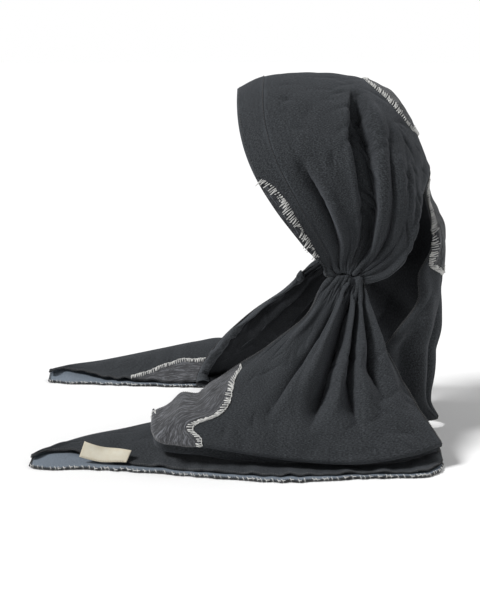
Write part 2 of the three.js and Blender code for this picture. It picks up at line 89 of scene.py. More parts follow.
# Nape elastic and label
elastic_width = 12
elastic_bow = 10
label_length = 44
label_height = 13

# Thread
stitch_thread = 0.44
seam_thread = 0.34
hem_thread = 0.34
blanket_pitch = 2.3
overlock_pitch = 1.7
overlock_reach = 2.4
overlock_points = 7

# How far the rubbed cloth reaches in from an edge
rubbed_width = 2.5

# Stage, in metres and degrees, and the strength of its lights
floor_radius = 30
floor_gap = 0.0008
floor_rim = 0.02
view_aim = (-0.06, 0, -0.2218)
view_rise = 11
view_distance = 1.3
key_power = 3.5
back_power = 0.8
ambient_strength = 0.26


# Small helpers
def mix(start, end, share):
    return start + (end - start) * share


def ease(value, low, high):
    share = np.clip((value - low) / (high - low), 0, 1)
    return share * share * (3 - 2 * share)


def place(x, y, z):
    return np.stack(np.broadcast_arrays(x, y, z), axis=-1).astype(float)


def unit(vectors):
    length = np.linalg.norm(vectors, axis=-1, keepdims=True)
    return vectors / np.maximum(length, 1e-9)


# A round hump: 1 at 0, falling away on both sides.
def hump(value):
    return np.exp(-(value**2))


def steps_of(line):
    return np.linalg.norm(np.diff(line, axis=0), axis=1)


# How far along a line each of its points lies.
def run_along(line):
    return np.cumsum(np.r_[0, steps_of(line)])


# A table with named columns, one row to a line.
def table(names, *rows):
    return {name: np.array(values, float) for name, values in zip(names.split(), zip(*rows))}


def rows_of(rows):
    names = list(rows)
    return [dict(zip(names, values)) for values in zip(*rows.values())]


# One column of a table at a share between its rows, as a smooth curve through them.
def column(rows, along, name, share):
    places, values = rows[along], rows[name]
    last = len(places) - 1
    start = np.clip(np.searchsorted(places, share, side="left") - 1, 0, last - 1)
    end = start + 1
    before = np.maximum(start - 1, 0)
    after = np.minimum(end + 1, last)
    span = places[end] - places[start]
    local = np.clip((share - places[start]) / span, 0, 1)
    start_slope = (values[end] - values[before]) / (places[end] - places[before]) * span
    end_slope = (values[after] - values[start]) / (places[after] - places[start]) * span
    squared = local**2
    cubed = local**3
    return (
        values[start] * (2 * cubed - 3 * squared + 1)
        + start_slope * (cubed - 2 * squared + local)
        + values[end] * (3 * squared - 2 * cubed)
        + end_slope * (cubed - squared)
    )


# A fine line through a few points, smooth and without overshoot.
def smooth_line(points, steps=160):
    points = np.array(points, float)
    before, after = 2 * points[0] - points[1], 2 * points[-1] - points[-2]
    knots = np.vstack([before, points, after])
    line = []
    share = np.linspace(0, 1, steps, endpoint=False)[:, None]
    for p0, p1, p2, p3 in zip(knots, knots[1:], knots[2:], knots[3:]):
        gap0, gap1, gap2 = (math.sqrt(np.linalg.norm(b - a)) for a, b in ((p0, p1), (p1, p2), (p2, p3)))
        start = gap1 * ((p1 - p0) / gap0 - (p2 - p0) / (gap0 + gap1) + (p2 - p1) / gap1)
        end = gap1 * ((p2 - p1) / gap1 - (p3 - p1) / (gap1 + gap2) + (p3 - p2) / gap2)
        bend = -3 * p1 + 3 * p2 - 2 * start - end
        twist = 2 * p1 - 2 * p2 + start + end
        line.append(p1 + start * share + bend * share**2 + twist * share**3)
    return np.vstack(line + [points[-1:]])


# The outward normal of a surface, where its first direction crossed with its second points out.
def normal_of(surface, first, second):
    step = 2e-3
    along = surface(np.minimum(first + step, 1), second) - surface(np.maximum(first - step, 0), second)
    across = surface(first, np.minimum(second + step, 1)) - surface(first, np.maximum(second - step, 0))
    return unit(np.cross(along, across))


# The same surface pushed out along its normal by a distance that may change over it.
def pushed(surface, distance):
    def lifted(first, second):
        by = np.asarray(distance(first, second))[..., None]
        return surface(first, second) + normal_of(surface, first, second) * by

    return lifted


# Smooth random swells between about -1 and 1, with so many of them along each direction.
def swells(first, second, many_first, many_second, seed):
    chance = np.random.default_rng(seed)
    total = 0
    for turn, strength, phase in chance.uniform((0, 0.5, 0), (math.tau, 1.5, math.tau), (12, 3)):
        across_first = math.cos(turn) * strength * many_first * first
        across_second = math.sin(turn) * strength * many_second * second
        total = total + np.sin(math.tau * (across_first + across_second) + phase)
    return total / 4


# Sharp valleys between soft mounds, as in cloth that was folded and worn: 0 in a valley, about 1 between.
def creases(first, second, many_first, many_second, seed, sharp=0.03):
    height = swells(first, second, many_first, many_second, seed)
    return np.sqrt(height**2 + sharp) - math.sqrt(sharp)


# Crown
# It opens like a fan about the line through the two gathers. A row is one section of it, from the face
# edge to the back edge: its reach from that line and its half width.
crown_sections = table(
    "back reach width",
    (0, 1, 0.94),
    (0.1, 0.995, 0.98),
    (0.24, 0.955, 1.01),
    (0.36, 0.926, 1.02),
    (0.48, 0.903, 1.02),
    (0.57, 0.877, 1.0),
    (0.64, 0.846, 0.98),
    (0.79, 0.728, 0.92),
    (0.92, 0.642, 0.84),
    (1, 0.613, 0.78),
)

# One section from the left gather to the ridge: shares of the section's reach and half width.
crown_crossing = [(0.2, 0.84), (0.42, 1.0), (0.64, 0.97), (0.82, 0.75), (0.94, 0.44)]

# Degrees from straight up, towards the face, of the face edge and the back edge at the ridge, and how
# far the two edges swing down towards the gathers.
face_lean = 32
face_bow = 19.3
face_sweep = 45
back_lean = -41
back_sweep = 108

gather_at = gather_spacing / head_width
left_half = [(reach, -width) for reach, width in crown_crossing]
right_half = [(reach, width) for reach, width in reversed(crown_crossing)]
crossing_line = smooth_line([(0, -gather_at), *left_half, (1, 0), *right_half, (0, gather_at)])
crossing_share = run_along(crossing_line)
crossing_share /= crossing_share[-1]


def reach_at(over):
    return np.clip(np.interp(over, crossing_share, crossing_line[:, 0]), 0, 1)


def width_at(over):
    return np.interp(over, crossing_share, crossing_line[:, 1])


# Near a gather the cloth puckers outwards over the knot. Its front part is bunched further forward and
# its back part further back, by how far across it a point lies and how near the gather.
def pinched(points, side, across, near):
    ahead = (points[..., 0] - gather_back + 5) / 1.7
    distance = np.hypot(ahead, points[..., 2] + gather_drop)
    points[..., 0] += near * (pinch_backward * across**3 - pinch_forward * (1 - across) ** 3)
    points[..., 1] += side * 5.5 * hump(distance / 9)
    points[..., 2] += near**3 * pucker_height * np.sin(across * 35 + 2.5 * np.sin(across * 14))
    points[..., 1] += near**3 * side * pucker_height * np.sin(across * 61 + 3 * np.sin(across * 9))
    return points


def front_lean(reach):
    return face_lean + face_bow * (1 - reach**2.2) + face_sweep * (1 - reach) ** 6


def rear_lean(reach):
    return back_lean - back_sweep * (1 - reach) ** 2


# The mouth of the great pleat: a recess between the edge of the front part and a rounded lobe.
mouth_sides = table(
    "reach left right",
    (0, 0.4, 0.54),
    (0.13, 0.412, 0.57),
    (0.23, 0.41, 0.555),
    (0.38, 0.408, 0.545),
    (0.65, 0.426, 0.56),
    (0.78, 0.436, 0.555),
    (0.92, 0.446, 0.49),
    (1, 0.446, 0.45),
)
mouth_depth = 21


def hood(back, over):
    crossing_reach = reach_at(over)
    section_reach = crown_reach * column(crown_sections, "back", "reach", back)
    reach = pinch_radius + crossing_reach * (section_reach - pinch_radius)
    lean = np.radians(mix(front_lean(crossing_reach), rear_lean(crossing_reach), back))
    width = mix(1, column(crown_sections, "back", "width", back), ease(crossing_reach, 0, 0.3))
    points = place(
        gather_back - reach * np.sin(lean),
        width_at(over) * width * head_width / 2,
        reach * np.cos(lean) - gather_drop,
    )
    return pinched(points, np.where(over < 0.5, -1, 1), back, 1 - ease(crossing_reach, 0, 0.16))


# The pleats run from the gathers up the crown. A row is one of them: where it lies between the face
# edge and the back edge at its top and at its foot, how far up it reaches, its width, and its depth.
# Outward folds are round. Inward ones slope in from the front and rise sharply behind.
crown_pleats = table(
    "top foot up_to fade width depth",
    (0.1, 0.13, 0.5, 0.35, 0.02, -0.3),
    (0.175, 0.255, 0.65, 0.2, 0.024, -1.5),
    (0.215, 0.31, 0.66, 0.35, 0.035, 0.5),
    (0.24, 0.36, 0.34, 0.35, 0.016, -0.4),
    (0.62, 0.645, 0.9, 0.35, 0.024, -0.7),
    (0.74, 0.73, 0.5, 0.35, 0.024, -0.4),
    (0.86, 0.83, 0.42, 0.35, 0.026, -0.35),
    (0.91, 0.9, 0.8, 0.35, 0.035, 0.4),
)


def fold_shape(beside, depth):
    if depth > 0:
        return hump(beside)
    return np.where(beside < 0, np.exp(-np.abs(beside / 1.5) ** 1.4), np.exp(-np.abs(beside / 0.65) ** 1.5))


def mouth(back, reach):
    left = column(mouth_sides, "reach", "left", reach)
    right = column(mouth_sides, "reach", "right", reach)
    across = np.clip((back - left) / (right - left), 0, 1)
    slope = 0.66 * ease(across, 0, 0.09) + 0.34 * ease(across, 0.1, 0.8)
    recess = slope * (1 - ease(back, right - 0.006, right + 0.012))
    front_lip = 1.4 * hump((back - left + 0.012) / 0.014)
    lobe = 5 * hump((back - right - 0.03) / 0.026)
    puckers = 0.09 * np.sin(reach * 48 + 9 * across + 3 * np.sin(reach * 17))
    open_part = ease(reach, 0.02, 0.24) * (1 - ease(reach, 0.84, 0.95))
    return (front_lip + lobe - mouth_depth * recess * (1 + puckers)) * open_part


def crown_fold(back, over):
    reach = reach_at(over)
    depth = 0
    for pleat in rows_of(crown_pleats):
        beside = (back - mix(pleat["foot"], pleat["top"], reach)) / pleat["width"]
        length = 1 - ease(reach, pleat["up_to"] - pleat["fade"], pleat["up_to"])
        depth = depth + pleat["depth"] * fold_shape(beside, pleat["depth"]) * length
    low = 1 - ease(reach, 0.7, 0.95)
    curl = -0.9 * ease(back, 0.93, 1) * low - 0.3 * ease(back, 0.96, 1)
    return pleat_depth * ease(reach, 0, 0.3) * (depth + curl) + mouth(back, reach)


# Rounded ruffles with sharp valleys between them, between -1 and 1.
def ruffles(turn):
    return 2 * np.abs(np.sin(turn / 2)) ** 0.75 - 1


# Short sharp creases scattered over a surface of a given size, each as deep as 1 at its middle.
def short_creases(first, second, size, count, seed, length=26, width=2.8):
    chance = np.random.default_rng(seed)
    depth = 0
    lowest, highest = (0, 0, -0.6, 0.5, 0.3), (1, 1, 1.1, 1.4, 1)
    for at_first, at_second, turn, long, deep in chance.uniform(lowest, highest, (count, 5)):
        ahead, beside = (first - at_first) * size[0], (second - at_second) * size[1]
        along = ahead * math.cos(turn) + beside * math.sin(turn)
        off = beside * math.cos(turn) - ahead * math.sin(turn) + along**2 / 120
        depth = depth + deep * np.exp(-((along / (length * long / 2)) ** 2) - np.abs(off / width) ** 1.5)
    return depth


# Uneven pleats fan out of each gather, and the rest has the creases of worn jersey.
def crown_wrinkle(back, over):
    reach = reach_at(over)
    near = ease(reach, 0, 0.012) * (1 - ease(reach, 0.02, 0.22))
    fan = ruffles(back * math.tau * 13 + 3.2 * np.sin(back * 9 + 1) + 7 * reach)
    fine_fan = ruffles(back * math.tau * 24 + 3 * np.sin(back * 14) + 11 * reach)
    worn = creases(back + 0.15 * over, over, 5, 7, 4) * 1.7 + swells(back, over, 10, 12, 11) * 0.35
    worn = worn - short_creases(back, over, (260, 440), 190, 8) * 2.4
    away = ease(back, 0.13, 0.2) * ease(reach, 0.1, 0.4) * (1 - ease(back, 0.93, 1))
    away = away * (1 - 0.7 * ease(reach, 0.85, 1))
    return near * (1.7 * fan + 0.8 * fine_fan) + away * worn


pleated_hood = pushed(hood, crown_fold)


# The lobe's ridge leans forward over the mouth.
def folded_hood(back, over):
    reach = reach_at(over)
    lip = (back - column(mouth_sides, "reach", "right", reach) - 0.014) / 0.024
    points = pleated_hood(back, over)
    points[..., 0] -= lobe_overlap * hump(lip) * ease(reach, 0.1, 0.3) * (1 - ease(reach, 0.8, 0.95))
    return points


worn_hood = pushed(folded_hood, crown_wrinkle)

ridge_length = crown_reach * math.radians(face_lean - back_lean)
band_share = band_width / ridge_length


def seam_share(over):
    reach = reach_at(over)
    distance = mix(pinch_radius, crown_reach, reach)
    return seam_gap / 2 / (distance * np.radians(front_lean(reach) - rear_lean(reach)))


def band_surface(back, over):
    return worn_hood(back * (band_share - seam_share(over)), over)


# The crown's front edge is sewn into the band.
def crown_surface(back, over):
    return worn_hood(mix(band_share - 0.004, 1, back), over)


# Back fall
# The loose cloth that hangs from inside the crown's back edge and narrows to a curled tip. A row is one
# level: how far down it is, how far behind the gathers its spine and edges lie, and its half width.
fall_levels = table(
    "down spine left right width",
    (0, 0.8, 0.74, 0.7, 0.4),
    (0.12, 0.93, 0.82, 0.7, 0.48),
    (0.3, 1.0, 0.82, 0.5, 0.5),
    (0.4, 1.0, 0.7, 0.25, 0.52),
    (0.5, 0.985, 0.68, 0.12, 0.6),
    (0.6, 0.96, 0.46, 0.1, 0.76),
    (0.7, 0.925, 0.27, 0.2, 0.76),
    (0.82, 0.9, 0.36, 0.4, 0.62),
    (0.93, 0.9, 0.62, 0.64, 0.36),
    (1, 1.0, 0.86, 0.88, 0.16),
)
fall_top = gather_drop - 0.5 * crown_reach

# Its folds run down it. A row is one: its place across, where it starts, its width and its depth.
fall_folds = table(
    "over start width depth",
    (0.16, 0.5, 0.05, -0.7),
    (0.27, 0.5, 0.05, 0.5),
    (0.39, 0.4, 0.04, -0.8),
    (0.5, 0.45, 0.05, 0.4),
    (0.62, 0.42, 0.045, -0.8),
    (0.75, 0.5, 0.05, 0.5),
    (0.87, 0.45, 0.05, -0.7),
)
tuck_share = 0.08
tuck_spread = 0.14


def fall_base(down, over):
    turn = (over - 0.5) * math.pi
    left = column(fall_levels, "down", "left", down)
    right = column(fall_levels, "down", "right", down)
    spine = column(fall_levels, "down", "spine", down)
    edge = np.where(over < 0.5, left, right)
    return place(
        gather_back + fall_back * mix(edge, spine, np.cos(turn).clip(0) ** 1.2),
        fall_half_width * column(fall_levels, "down", "width", down) * np.sin(turn),
        -fall_top - fall_length * down,
    )


def fall_fold(down, over):
    depth = 0
    for fold in rows_of(fall_folds):
        beside = (over - fold["over"]) / fold["width"]
        length = ease(down, fold["start"], fold["start"] + 0.25) * (1 - ease(down, 0.85, 1))
        depth = depth + fold["depth"] * hump(beside) * length
    return pleat_depth * depth


folded_fall = pushed(fall_base, fall_fold)
crown_inside = pushed(
    lambda back, over: folded_hood(mix(band_share + seam_share(over), 1, back), over),
    lambda back, over: -(cloth_wall + seam_gap) * np.ones_like(back),
)


def plain_fall(down, over):
    crown_back = mix(0.93, 1, np.minimum(down / tuck_share, 1))
    tucked = crown_inside(crown_back, mix(0.5 - tuck_spread, 0.5 + tuck_spread, over))
    below = np.clip((down - tuck_share) / (1 - tuck_share), 0, 1)
    level = mix((-fall_top - tucked[..., 2]) / fall_length, 1, below)
    own = folded_fall(np.clip(level, 0, 1), over)
    hanging = tucked.copy()
    hanging[..., 2] = own[..., 2]
    hanging = mix(hanging, own, ease(below, 0.02, 0.22)[..., None])
    return np.where((down <= tuck_share)[..., None], tucked, hanging)


def fall_wrinkle(down, over):
    worn = creases(down - 0.5 * over, over, 4, 4, 21) * 2.2 + swells(down, over, 8, 6, 22) * 0.3
    worn = worn - short_creases(down, over, (270, 220), 50, 23) * 1.3
    return worn * ease(down, 0.12, 0.3)


fall_surface = pushed(plain_fall, fall_wrinkle)


# Tail ends
# Each is a corner of cloth folded double on the table, wrong side in. A row is a section across it: how
# far behind the tip side it lies (ahead, turned round), how far out the hem of the lower layer and the
# folded edge lie, how far the upper layer stops short of the hem, the height of the folded edge, and
# how much of that height the lower layer takes too.
left_end_sections = table(
    "ahead hem step fold height low",
    (-1, 0.74, 0.1, 0.6, 0.035, 0.5),
    (-0.965, 0.8, 0.25, 0.5, 0.05, 0.6),
    (-0.9, 0.8, 0.3, 0.42, 0.075, 0.5),
    (-0.83, 0.8, 0.2, 0.36, 0.1, 0.2),
    (-0.74, 0.825, 0.13, 0.3, 0.12, 0),
    (-0.57, 0.92, 0.075, 0.12, 0.14, 0),
    (-0.36, 1.05, 0.07, 0.14, 0.085, 0),
    (-0.2, 1.1, 0.08, 0.25, 0.06, 0),
    (0, 1.02, 0.05, 0.3, 0.05, 0),
    (0.2, 0.975, 0.05, 0.4, 0.055, 0),
    (0.25, 0.87, 0.07, 0.5, 0.055, 0),
    (0.27, 0.7, 0.06, 0.5, 0.05, 0),
)
right_end_sections = table(
    "ahead hem step fold height low",
    (-1, 0.74, 0.05, 0.84, 0.06, 0.9),
    (-0.94, 0.7, 0.16, 0.9, 0.08, 0.8),
    (-0.82, 0.67, 0.08, 0.92, 0.11, 0.3),
    (-0.61, 0.62, 0.05, 0.94, 0.19, 0),
    (-0.48, 0.6, 0.05, 0.95, 0.24, 0),
    (-0.38, 0.6, 0.05, 0.95, 0.26, 0),
    (-0.28, 0.58, 0.05, 0.95, 0.14, 0),
    (-0.18, 0.56, 0.05, 0.97, 0.05, 0),
    (0, 0.6, 0.05, 1.0, 0.05, 0),
    (0.17, 0.62, 0.05, 0.92, 0.05, 0),
)
hang_height = stand_height - gather_drop
table_top = -stand_height
lower_layer = table_top + cloth_wall / 2
upper_layer = lower_layer + cloth_wall + seam_gap
upper_share = 0.45
crease_share = 0.6


class TailEnd:
    def __init__(self, sections, side, forward, out):
        self.sections, self.side, self.forward, self.out = sections, side, forward, out
        self.first, self.last = -sections["ahead"][0], -sections["ahead"][-1]

    def level(self, name, ahead):
        return column(self.sections, "ahead", name, -ahead)

    def out_to(self, share):
        return self.side * (gather_spacing / 2 + self.out * share)

    def inward(self, ahead):
        return np.sign(self.level("fold", ahead) - self.level("hem", ahead))

    def upper(self, ahead, share):
        level = self.level
        start = level("hem", ahead) + self.inward(ahead) * level("step", ahead)
        low = upper_layer + hang_height * level("height", ahead) * level("low", ahead) * 0.7
        high = np.maximum(table_top + hang_height * level("height", ahead), upper_layer + cloth_wall)
        return place(
            gather_back - self.forward * ahead,
            self.out_to(mix(start, level("fold", ahead), share)),
            mix(np.minimum(low, high), high, np.sin(share * math.pi / 2)),
        )

    def surface(self, along, around):
        ahead = mix(self.first, self.last, along)
        upper = self.upper(ahead, np.minimum(around / upper_share, 1))
        crease_z = upper[..., 2]
        crease_y = upper[..., 1]
        lower_crease = mix(lower_layer, crease_z - cloth_wall - seam_gap, self.level("low", ahead))
        radius = (crease_z - lower_crease) / 2
        turn = np.clip((around - upper_share) / (crease_share - upper_share), 0, 1) * math.pi
        under = np.clip((around - crease_share) / (1 - crease_share), 0, 1)
        bulge = self.side * self.inward(ahead) * radius * np.sin(turn) * 0.8
        hem_y = self.out_to(self.level("hem", ahead))
        y = np.where(around < crease_share, crease_y + bulge, mix(crease_y, hem_y, under))
        round_z = lower_crease + radius * (1 + np.cos(turn))
        z = np.where(around < crease_share, round_z, mix(lower_layer, lower_crease, (1 - under) ** 2))
        z = np.where(around < upper_share, upper[..., 2], z)
        return place(upper[..., 0], y, z)


left_end = TailEnd(left_end_sections, -1, left_end_forward, left_tail_out)
right_end = TailEnd(right_end_sections, 1, right_end_forward, right_tail_out)


# The edges of an end ripple, and its upper layer has worn creases.
def worn_end(end, seed):
    def surface(along, around):
        upper_edge = 1 - ease(around, 0, 0.1)
        lower_edge = ease(around, 0.92, 1)
        ripple = 0.9 * np.sin(along * 61 + np.sin(along * 23)) + 0.5 * np.sin(along * 143)
        points = end.surface(along, around)
        upper_part = 1 - ease(around, upper_share * 0.8, upper_share)
        worn = creases(along, around, 9, 3, seed) * 1.4
        worn = worn - short_creases(along, around, (380, 200), 60, seed) * 0.8
        worn = worn * upper_part * ease(around, 0, 0.15)
        points[..., 2] += worn + upper_edge * (ripple + 0.6) + lower_edge * 0.35 * (1 + ripple)
        points[..., 1] -= (upper_edge * 1.2 + lower_edge * 0.9) * np.sin(along * 97 + 2 * np.sin(along * 31))
        return points

    return surface


left_end_surface = worn_end(left_end, 31)
right_end_surface = worn_end(right_end, 32)


# Tails
# Each spreads from its gather like a fan and breaks just above the table. A row is one line down it:
# the direction in which it leaves the gather, where it breaks, and the point it swings through.
left_tail_lines = table(
    "at leaves ahead out rise mid_ahead mid_out mid_rise",
    (0, 150, 1, 0.62, 0.27, 0.43, 0.62, 0.59),
    (0.12, 158, 0.97, 0.86, 0.18, 0.42, 0.7, 0.56),
    (0.28, 168, 0.74, 0.92, 0.15, 0.34, 0.74, 0.55),
    (0.44, 176, 0.52, 0.93, 0.11, 0.25, 0.8, 0.55),
    (0.6, 184, 0.28, 0.95, 0.075, 0.15, 0.8, 0.55),
    (0.76, 188, 0, 0.95, 0.06, 0.04, 0.74, 0.55),
    (0.9, 194, -0.25, 0.89, 0.09, -0.07, 0.6, 0.58),
    (1, 200, -0.41, 0.72, 0.11, -0.14, 0.4, 0.58),
)
right_tail_lines = table(
    "at leaves ahead out rise mid_ahead mid_out mid_rise",
    (0, 150, 0.88, 0.62, 0.05, 0.72, 0.36, 0.545),
    (0.1, 154, 0.81, 0.62, 0.05, 0.64, 0.33, 0.53),
    (0.2, 158, 0.75, 0.63, 0.06, 0.54, 0.3, 0.53),
    (0.36, 168, 0.62, 0.64, 0.08, 0.38, 0.36, 0.56),
    (0.56, 180, 0.34, 0.78, 0.08, 0.2, 0.45, 0.55),
    (0.78, 190, 0, 0.84, 0.08, 0.02, 0.4, 0.55),
    (1, 200, -0.36, 0.6, 0.1, -0.1, 0.2, 0.54),
)

# The folds of the tails. A row gives a fold's place at the gather, half way down and at the break, how
# far down it starts and ends, its width and its depth.
left_tail_folds = table(
    "top middle foot start end width depth",
    (0.15, 0.2, 0.27, 0.02, 0.6, 0.05, 0.35),
    (0.42, 0.4, 0.42, 0.02, 0.9, 0.03, -0.6),
    (0.55, 0.51, 0.46, 0.02, 0.7, 0.035, 0.7),
    (0.72, 0.64, 0.585, 0.02, 0.9, 0.034, -2.3),
    (0.81, 0.705, 0.66, 0.02, 0.8, 0.022, 0.9),
    (0.88, 0.75, 0.79, 0.03, 0.92, 0.022, -1.6),
    (0.93, 0.8, 0.85, 0.05, 0.85, 0.03, 0.8),
    (0.97, 0.865, 0.9, 0.05, 0.75, 0.02, -1.2),
    (1, 0.94, 0.95, 0.05, 0.8, 0.03, 0.7),
)
right_tail_folds = table(
    "top middle foot start end width depth",
    (0.2, 0.22, 0.25, 0.05, 0.9, 0.03, -0.6),
    (0.32, 0.31, 0.33, 0.05, 0.8, 0.035, 0.5),
    (0.42, 0.43, 0.44, 0.05, 0.85, 0.026, -0.8),
    (0.55, 0.53, 0.52, 0.05, 0.8, 0.035, 0.7),
    (0.66, 0.62, 0.64, 0.05, 0.9, 0.026, -1.0),
    (0.78, 0.74, 0.74, 0.05, 0.85, 0.035, 0.6),
    (0.88, 0.84, 0.86, 0.05, 0.8, 0.026, -0.7),
)
hang_share = 0.84
roll_share = 0.6
most_drop = 16


# The height at which cloth rests on a tail's end, at points over it.
def rest_on(end, points):
    ahead = np.clip((gather_back - points[..., 0]) / end.forward, end.last, end.first)
    hem = end.upper(ahead, 0)[..., 1]
    crease = end.upper(ahead, 1)[..., 1]
    share = np.clip((points[..., 1] - hem) / (crease - hem), 0, 1)
    return end.upper(ahead, share)[..., 2] + cloth_wall + seam_gap


def tail_surface(lines, folds, end, forward, behind, seed, corner_fold=0):
    side, out = end.side, end.out

    def ahead_of(share):
        return np.where(share >= 0, share * forward, share / 0.4 * behind)

    def base(across, down):
        def line(name):
            return column(lines, "at", name, across)

        leaves = np.radians(line("leaves"))
        start = place(
            gather_back - pinch_radius * np.sin(leaves),
            side * gather_spacing / 2,
            pinch_radius * np.cos(leaves) - gather_drop,
        )
        swing = place(
            gather_back - ahead_of(line("mid_ahead")),
            side * (gather_spacing / 2 + out * line("mid_out")),
            table_top + hang_height * line("mid_rise"),
        )
        foot = place(
            gather_back - ahead_of(line("ahead")),
            side * (gather_spacing / 2 + out * line("out")),
            table_top + hang_height * line("rise") + roll_radius,
        )
        share = np.asarray(down)[..., None]
        points = start * (1 - share) ** 2 + swing * 2 * share * (1 - share) + foot * share**2
        return pinched(points, side, across, 1 - ease(down, 0.02, 0.3))

    def fold(across, down):
        depth = 0
        for row in rows_of(folds):
            lower = mix(row["middle"], row["foot"], np.clip(2 * down - 1, 0, 1))
            line = np.where(down < 0.5, mix(row["top"], row["middle"], np.clip(2 * down, 0, 1)), lower)
            starts = ease(down, row["start"], row["start"] + 0.25)
            ends = 1 - ease(down, row["end"] - 0.35, row["end"])
            width = row["width"] * (1.5 - 0.5 * starts)
            depth = depth + row["depth"] * fold_shape((across - line) / width, row["depth"]) * starts * ends
        return side * tail_fold_depth * depth

    def wrinkle(across, down):
        near = ease(down, 0, 0.02) * (1 - ease(down, 0.04, 0.2))
        ruffle = ruffles(across * math.tau * 11 + 3 * np.sin(across * 8) + 14 * down)
        ruffle = ruffle + 0.5 * ruffles(across * math.tau * 19 + 2 * np.sin(across * 19) - 11 * down)
        worn = creases(across, down, 4, 3, seed) * 1.8
        worn = worn - short_creases(across, down, (330, 190), 90, seed + 1) * 1.5
        return side * (near * 2.1 * ruffle + worn * ease(down, 0.2, 0.45))

    hanging = pushed(pushed(base, fold), wrinkle)

    def surface(across, down):
        points = hanging(across, np.minimum(down / hang_share, 1))
        roll = np.clip((down - hang_share) / (1 - hang_share), 0, 1)
        turn = np.minimum(roll / roll_share, 1) * math.pi
        onward = np.maximum((roll - roll_share) / (1 - roll_share), 0)
        points[..., 1] -= side * roll_radius * (1 - np.cos(turn) + 2 * onward)
        points[..., 2] -= roll_radius * np.sin(turn)
        drop = np.minimum(points[..., 2] - rest_on(end, points), most_drop)
        points[..., 2] -= drop * ease(onward, 0, 1)
        turned = hump((down - 0.735) / 0.03) - 0.8 * hump((down - 0.665) / 0.028)
        points[..., 2] += corner_fold * turned * hump(across / 0.13)
        return points

    return surface


left_reach = (left_tail_forward, left_tail_behind)
right_reach = (right_tail_forward, right_tail_behind)
left_tail_surface = tail_surface(left_tail_lines, left_tail_folds, left_end, *left_reach, 41, corner_fold=5)
right_tail_surface = tail_surface(right_tail_lines, right_tail_folds, right_end, *right_reach, 43)


# The front edge of the right tail is turned over to its inner side, and lies there in a loose roll.
def turned_edge(across, down):
    level = mix(0.1, 0.97, down)
    half = 0.022 + 0.03 * level + 0.006 * np.sin(level * 40 + 2 * np.sin(level * 13))
    middle = half + 0.004
    ripple = 0.8 * np.sin(level * 31 + across * 5)
    ripple = ripple + 0.9 * ruffles(level * 57 + across * 4 + 3 * np.sin(level * 9))
    height = 1.4 + 3.4 * np.sin(across * math.pi) ** 0.7 + ripple
    rolled = pushed(right_tail_surface, lambda first, second: -height)
    return rolled(np.clip(middle + half * (2 * across - 1), 0, 1), level)


# Patches
# Each is cloth laid on a piece. A row is one line across it: its place along the patch, and where the
# patch starts and stops across it.
temple_lines = table(
    "over low high",
    (0.066, 0.01, 0.24),
    (0.09, 0.01, 0.38),
    (0.12, 0.01, 0.48),
    (0.156, 0.01, 0.55),
    (0.187, 0.01, 0.42),
    (0.208, 0.01, 0.1),
)
crown_top_lines = table(
    "back low high",
    (0.437, 0.475, 0.52),
    (0.47, 0.435, 0.565),
    (0.55, 0.395, 0.6),
    (0.63, 0.38, 0.615),
    (0.7, 0.39, 0.59),
    (0.75, 0.425, 0.555),
    (0.785, 0.475, 0.52),
)
fall_lines = table(
    "down low high",
    (0.1, 0.3, 0.62),
    (0.125, 0.14, 0.78),
    (0.2, 0.04, 0.86),
    (0.3, 0.03, 0.8),
    (0.38, 0.11, 0.68),
    (0.44, 0.34, 0.5),
)
left_patch_lines = table(
    "down low high",
    (0.5, 0.006, 0.03),
    (0.55, 0.006, 0.12),
    (0.62, 0.006, 0.195),
    (0.69, 0.006, 0.215),
    (0.76, 0.006, 0.18),
    (0.83, 0.006, 0.26),
    (0.91, 0.006, 0.27),
)
right_patch_lines = table(
    "ahead low high",
    (-0.71, 0.02, 0.06),
    (-0.65, 0.02, 0.2),
    (-0.57, 0.02, 0.38),
    (-0.48, 0.02, 0.4),
    (-0.4, 0.02, 0.36),
)


def patch_on(base, wall, lines, along, shares, face=1):
    height = face * (wall / 2 + patch_wall / 2 + 0.1)
    lifted = pushed(base, lambda first, second: height + face * 0.3 * swells(first, second, 14, 14, 51))
    first, last = lines[along][0], lines[along][-1]

    def surface(share, across):
        at = mix(first, last, share)
        low, high = column(lines, along, "low", at), column(lines, along, "high", at)
        return lifted(*shares(at, mix(low, high, across)))

    return surface


# A patch's rows follow its surface's first direction or its second one, or lie on an end's upper layer.
def along_first(along, across):
    return along, across


def along_second(along, across):
    return across, along


def on_right_end(behind, across):
    return (-behind - right_end.first) / (right_end.last - right_end.first), across * upper_share


temple_surface = patch_on(band_surface, band_wall, temple_lines, "over", along_second)
crown_top_surface = patch_on(crown_surface, jersey_wall, crown_top_lines, "back", along_first)
fall_patch_surface = patch_on(fall_surface, jersey_wall, fall_lines, "down", along_first)
left_patch_surface = patch_on(left_tail_surface, jersey_wall, left_patch_lines, "down", along_second, -1)
right_patch_surface = patch_on(right_end_surface, jersey_wall, right_patch_lines, "ahead", on_right_end)


# Nape elastic and label
def elastic_surface(across, over):
    half_run = gather_spacing / 2 - gather_thickness / 2 - seam_gap
    ruche = 0.5 * np.sin(over * math.tau * 34) + 0.2 * np.sin(over * math.tau * 71 + 6 * across)
    bow = elastic_bow * (1 - (2 * over - 1) ** 2) + ruche * (0.5 + np.sin(across * math.pi) / 2)
    height = (across - 0.5) * (elastic_width + 0.5 * np.sin(over * math.tau * 34))
    return place(gather_back + bow, mix(-half_run, half_run, over), height - gather_drop)


# The label's place on the left tail's end, as shares of its length and width, its lean and its sag.
label_ahead = 0.775
label_out = 0.695
label_lean = math.radians(30)
label_sag = 3.5


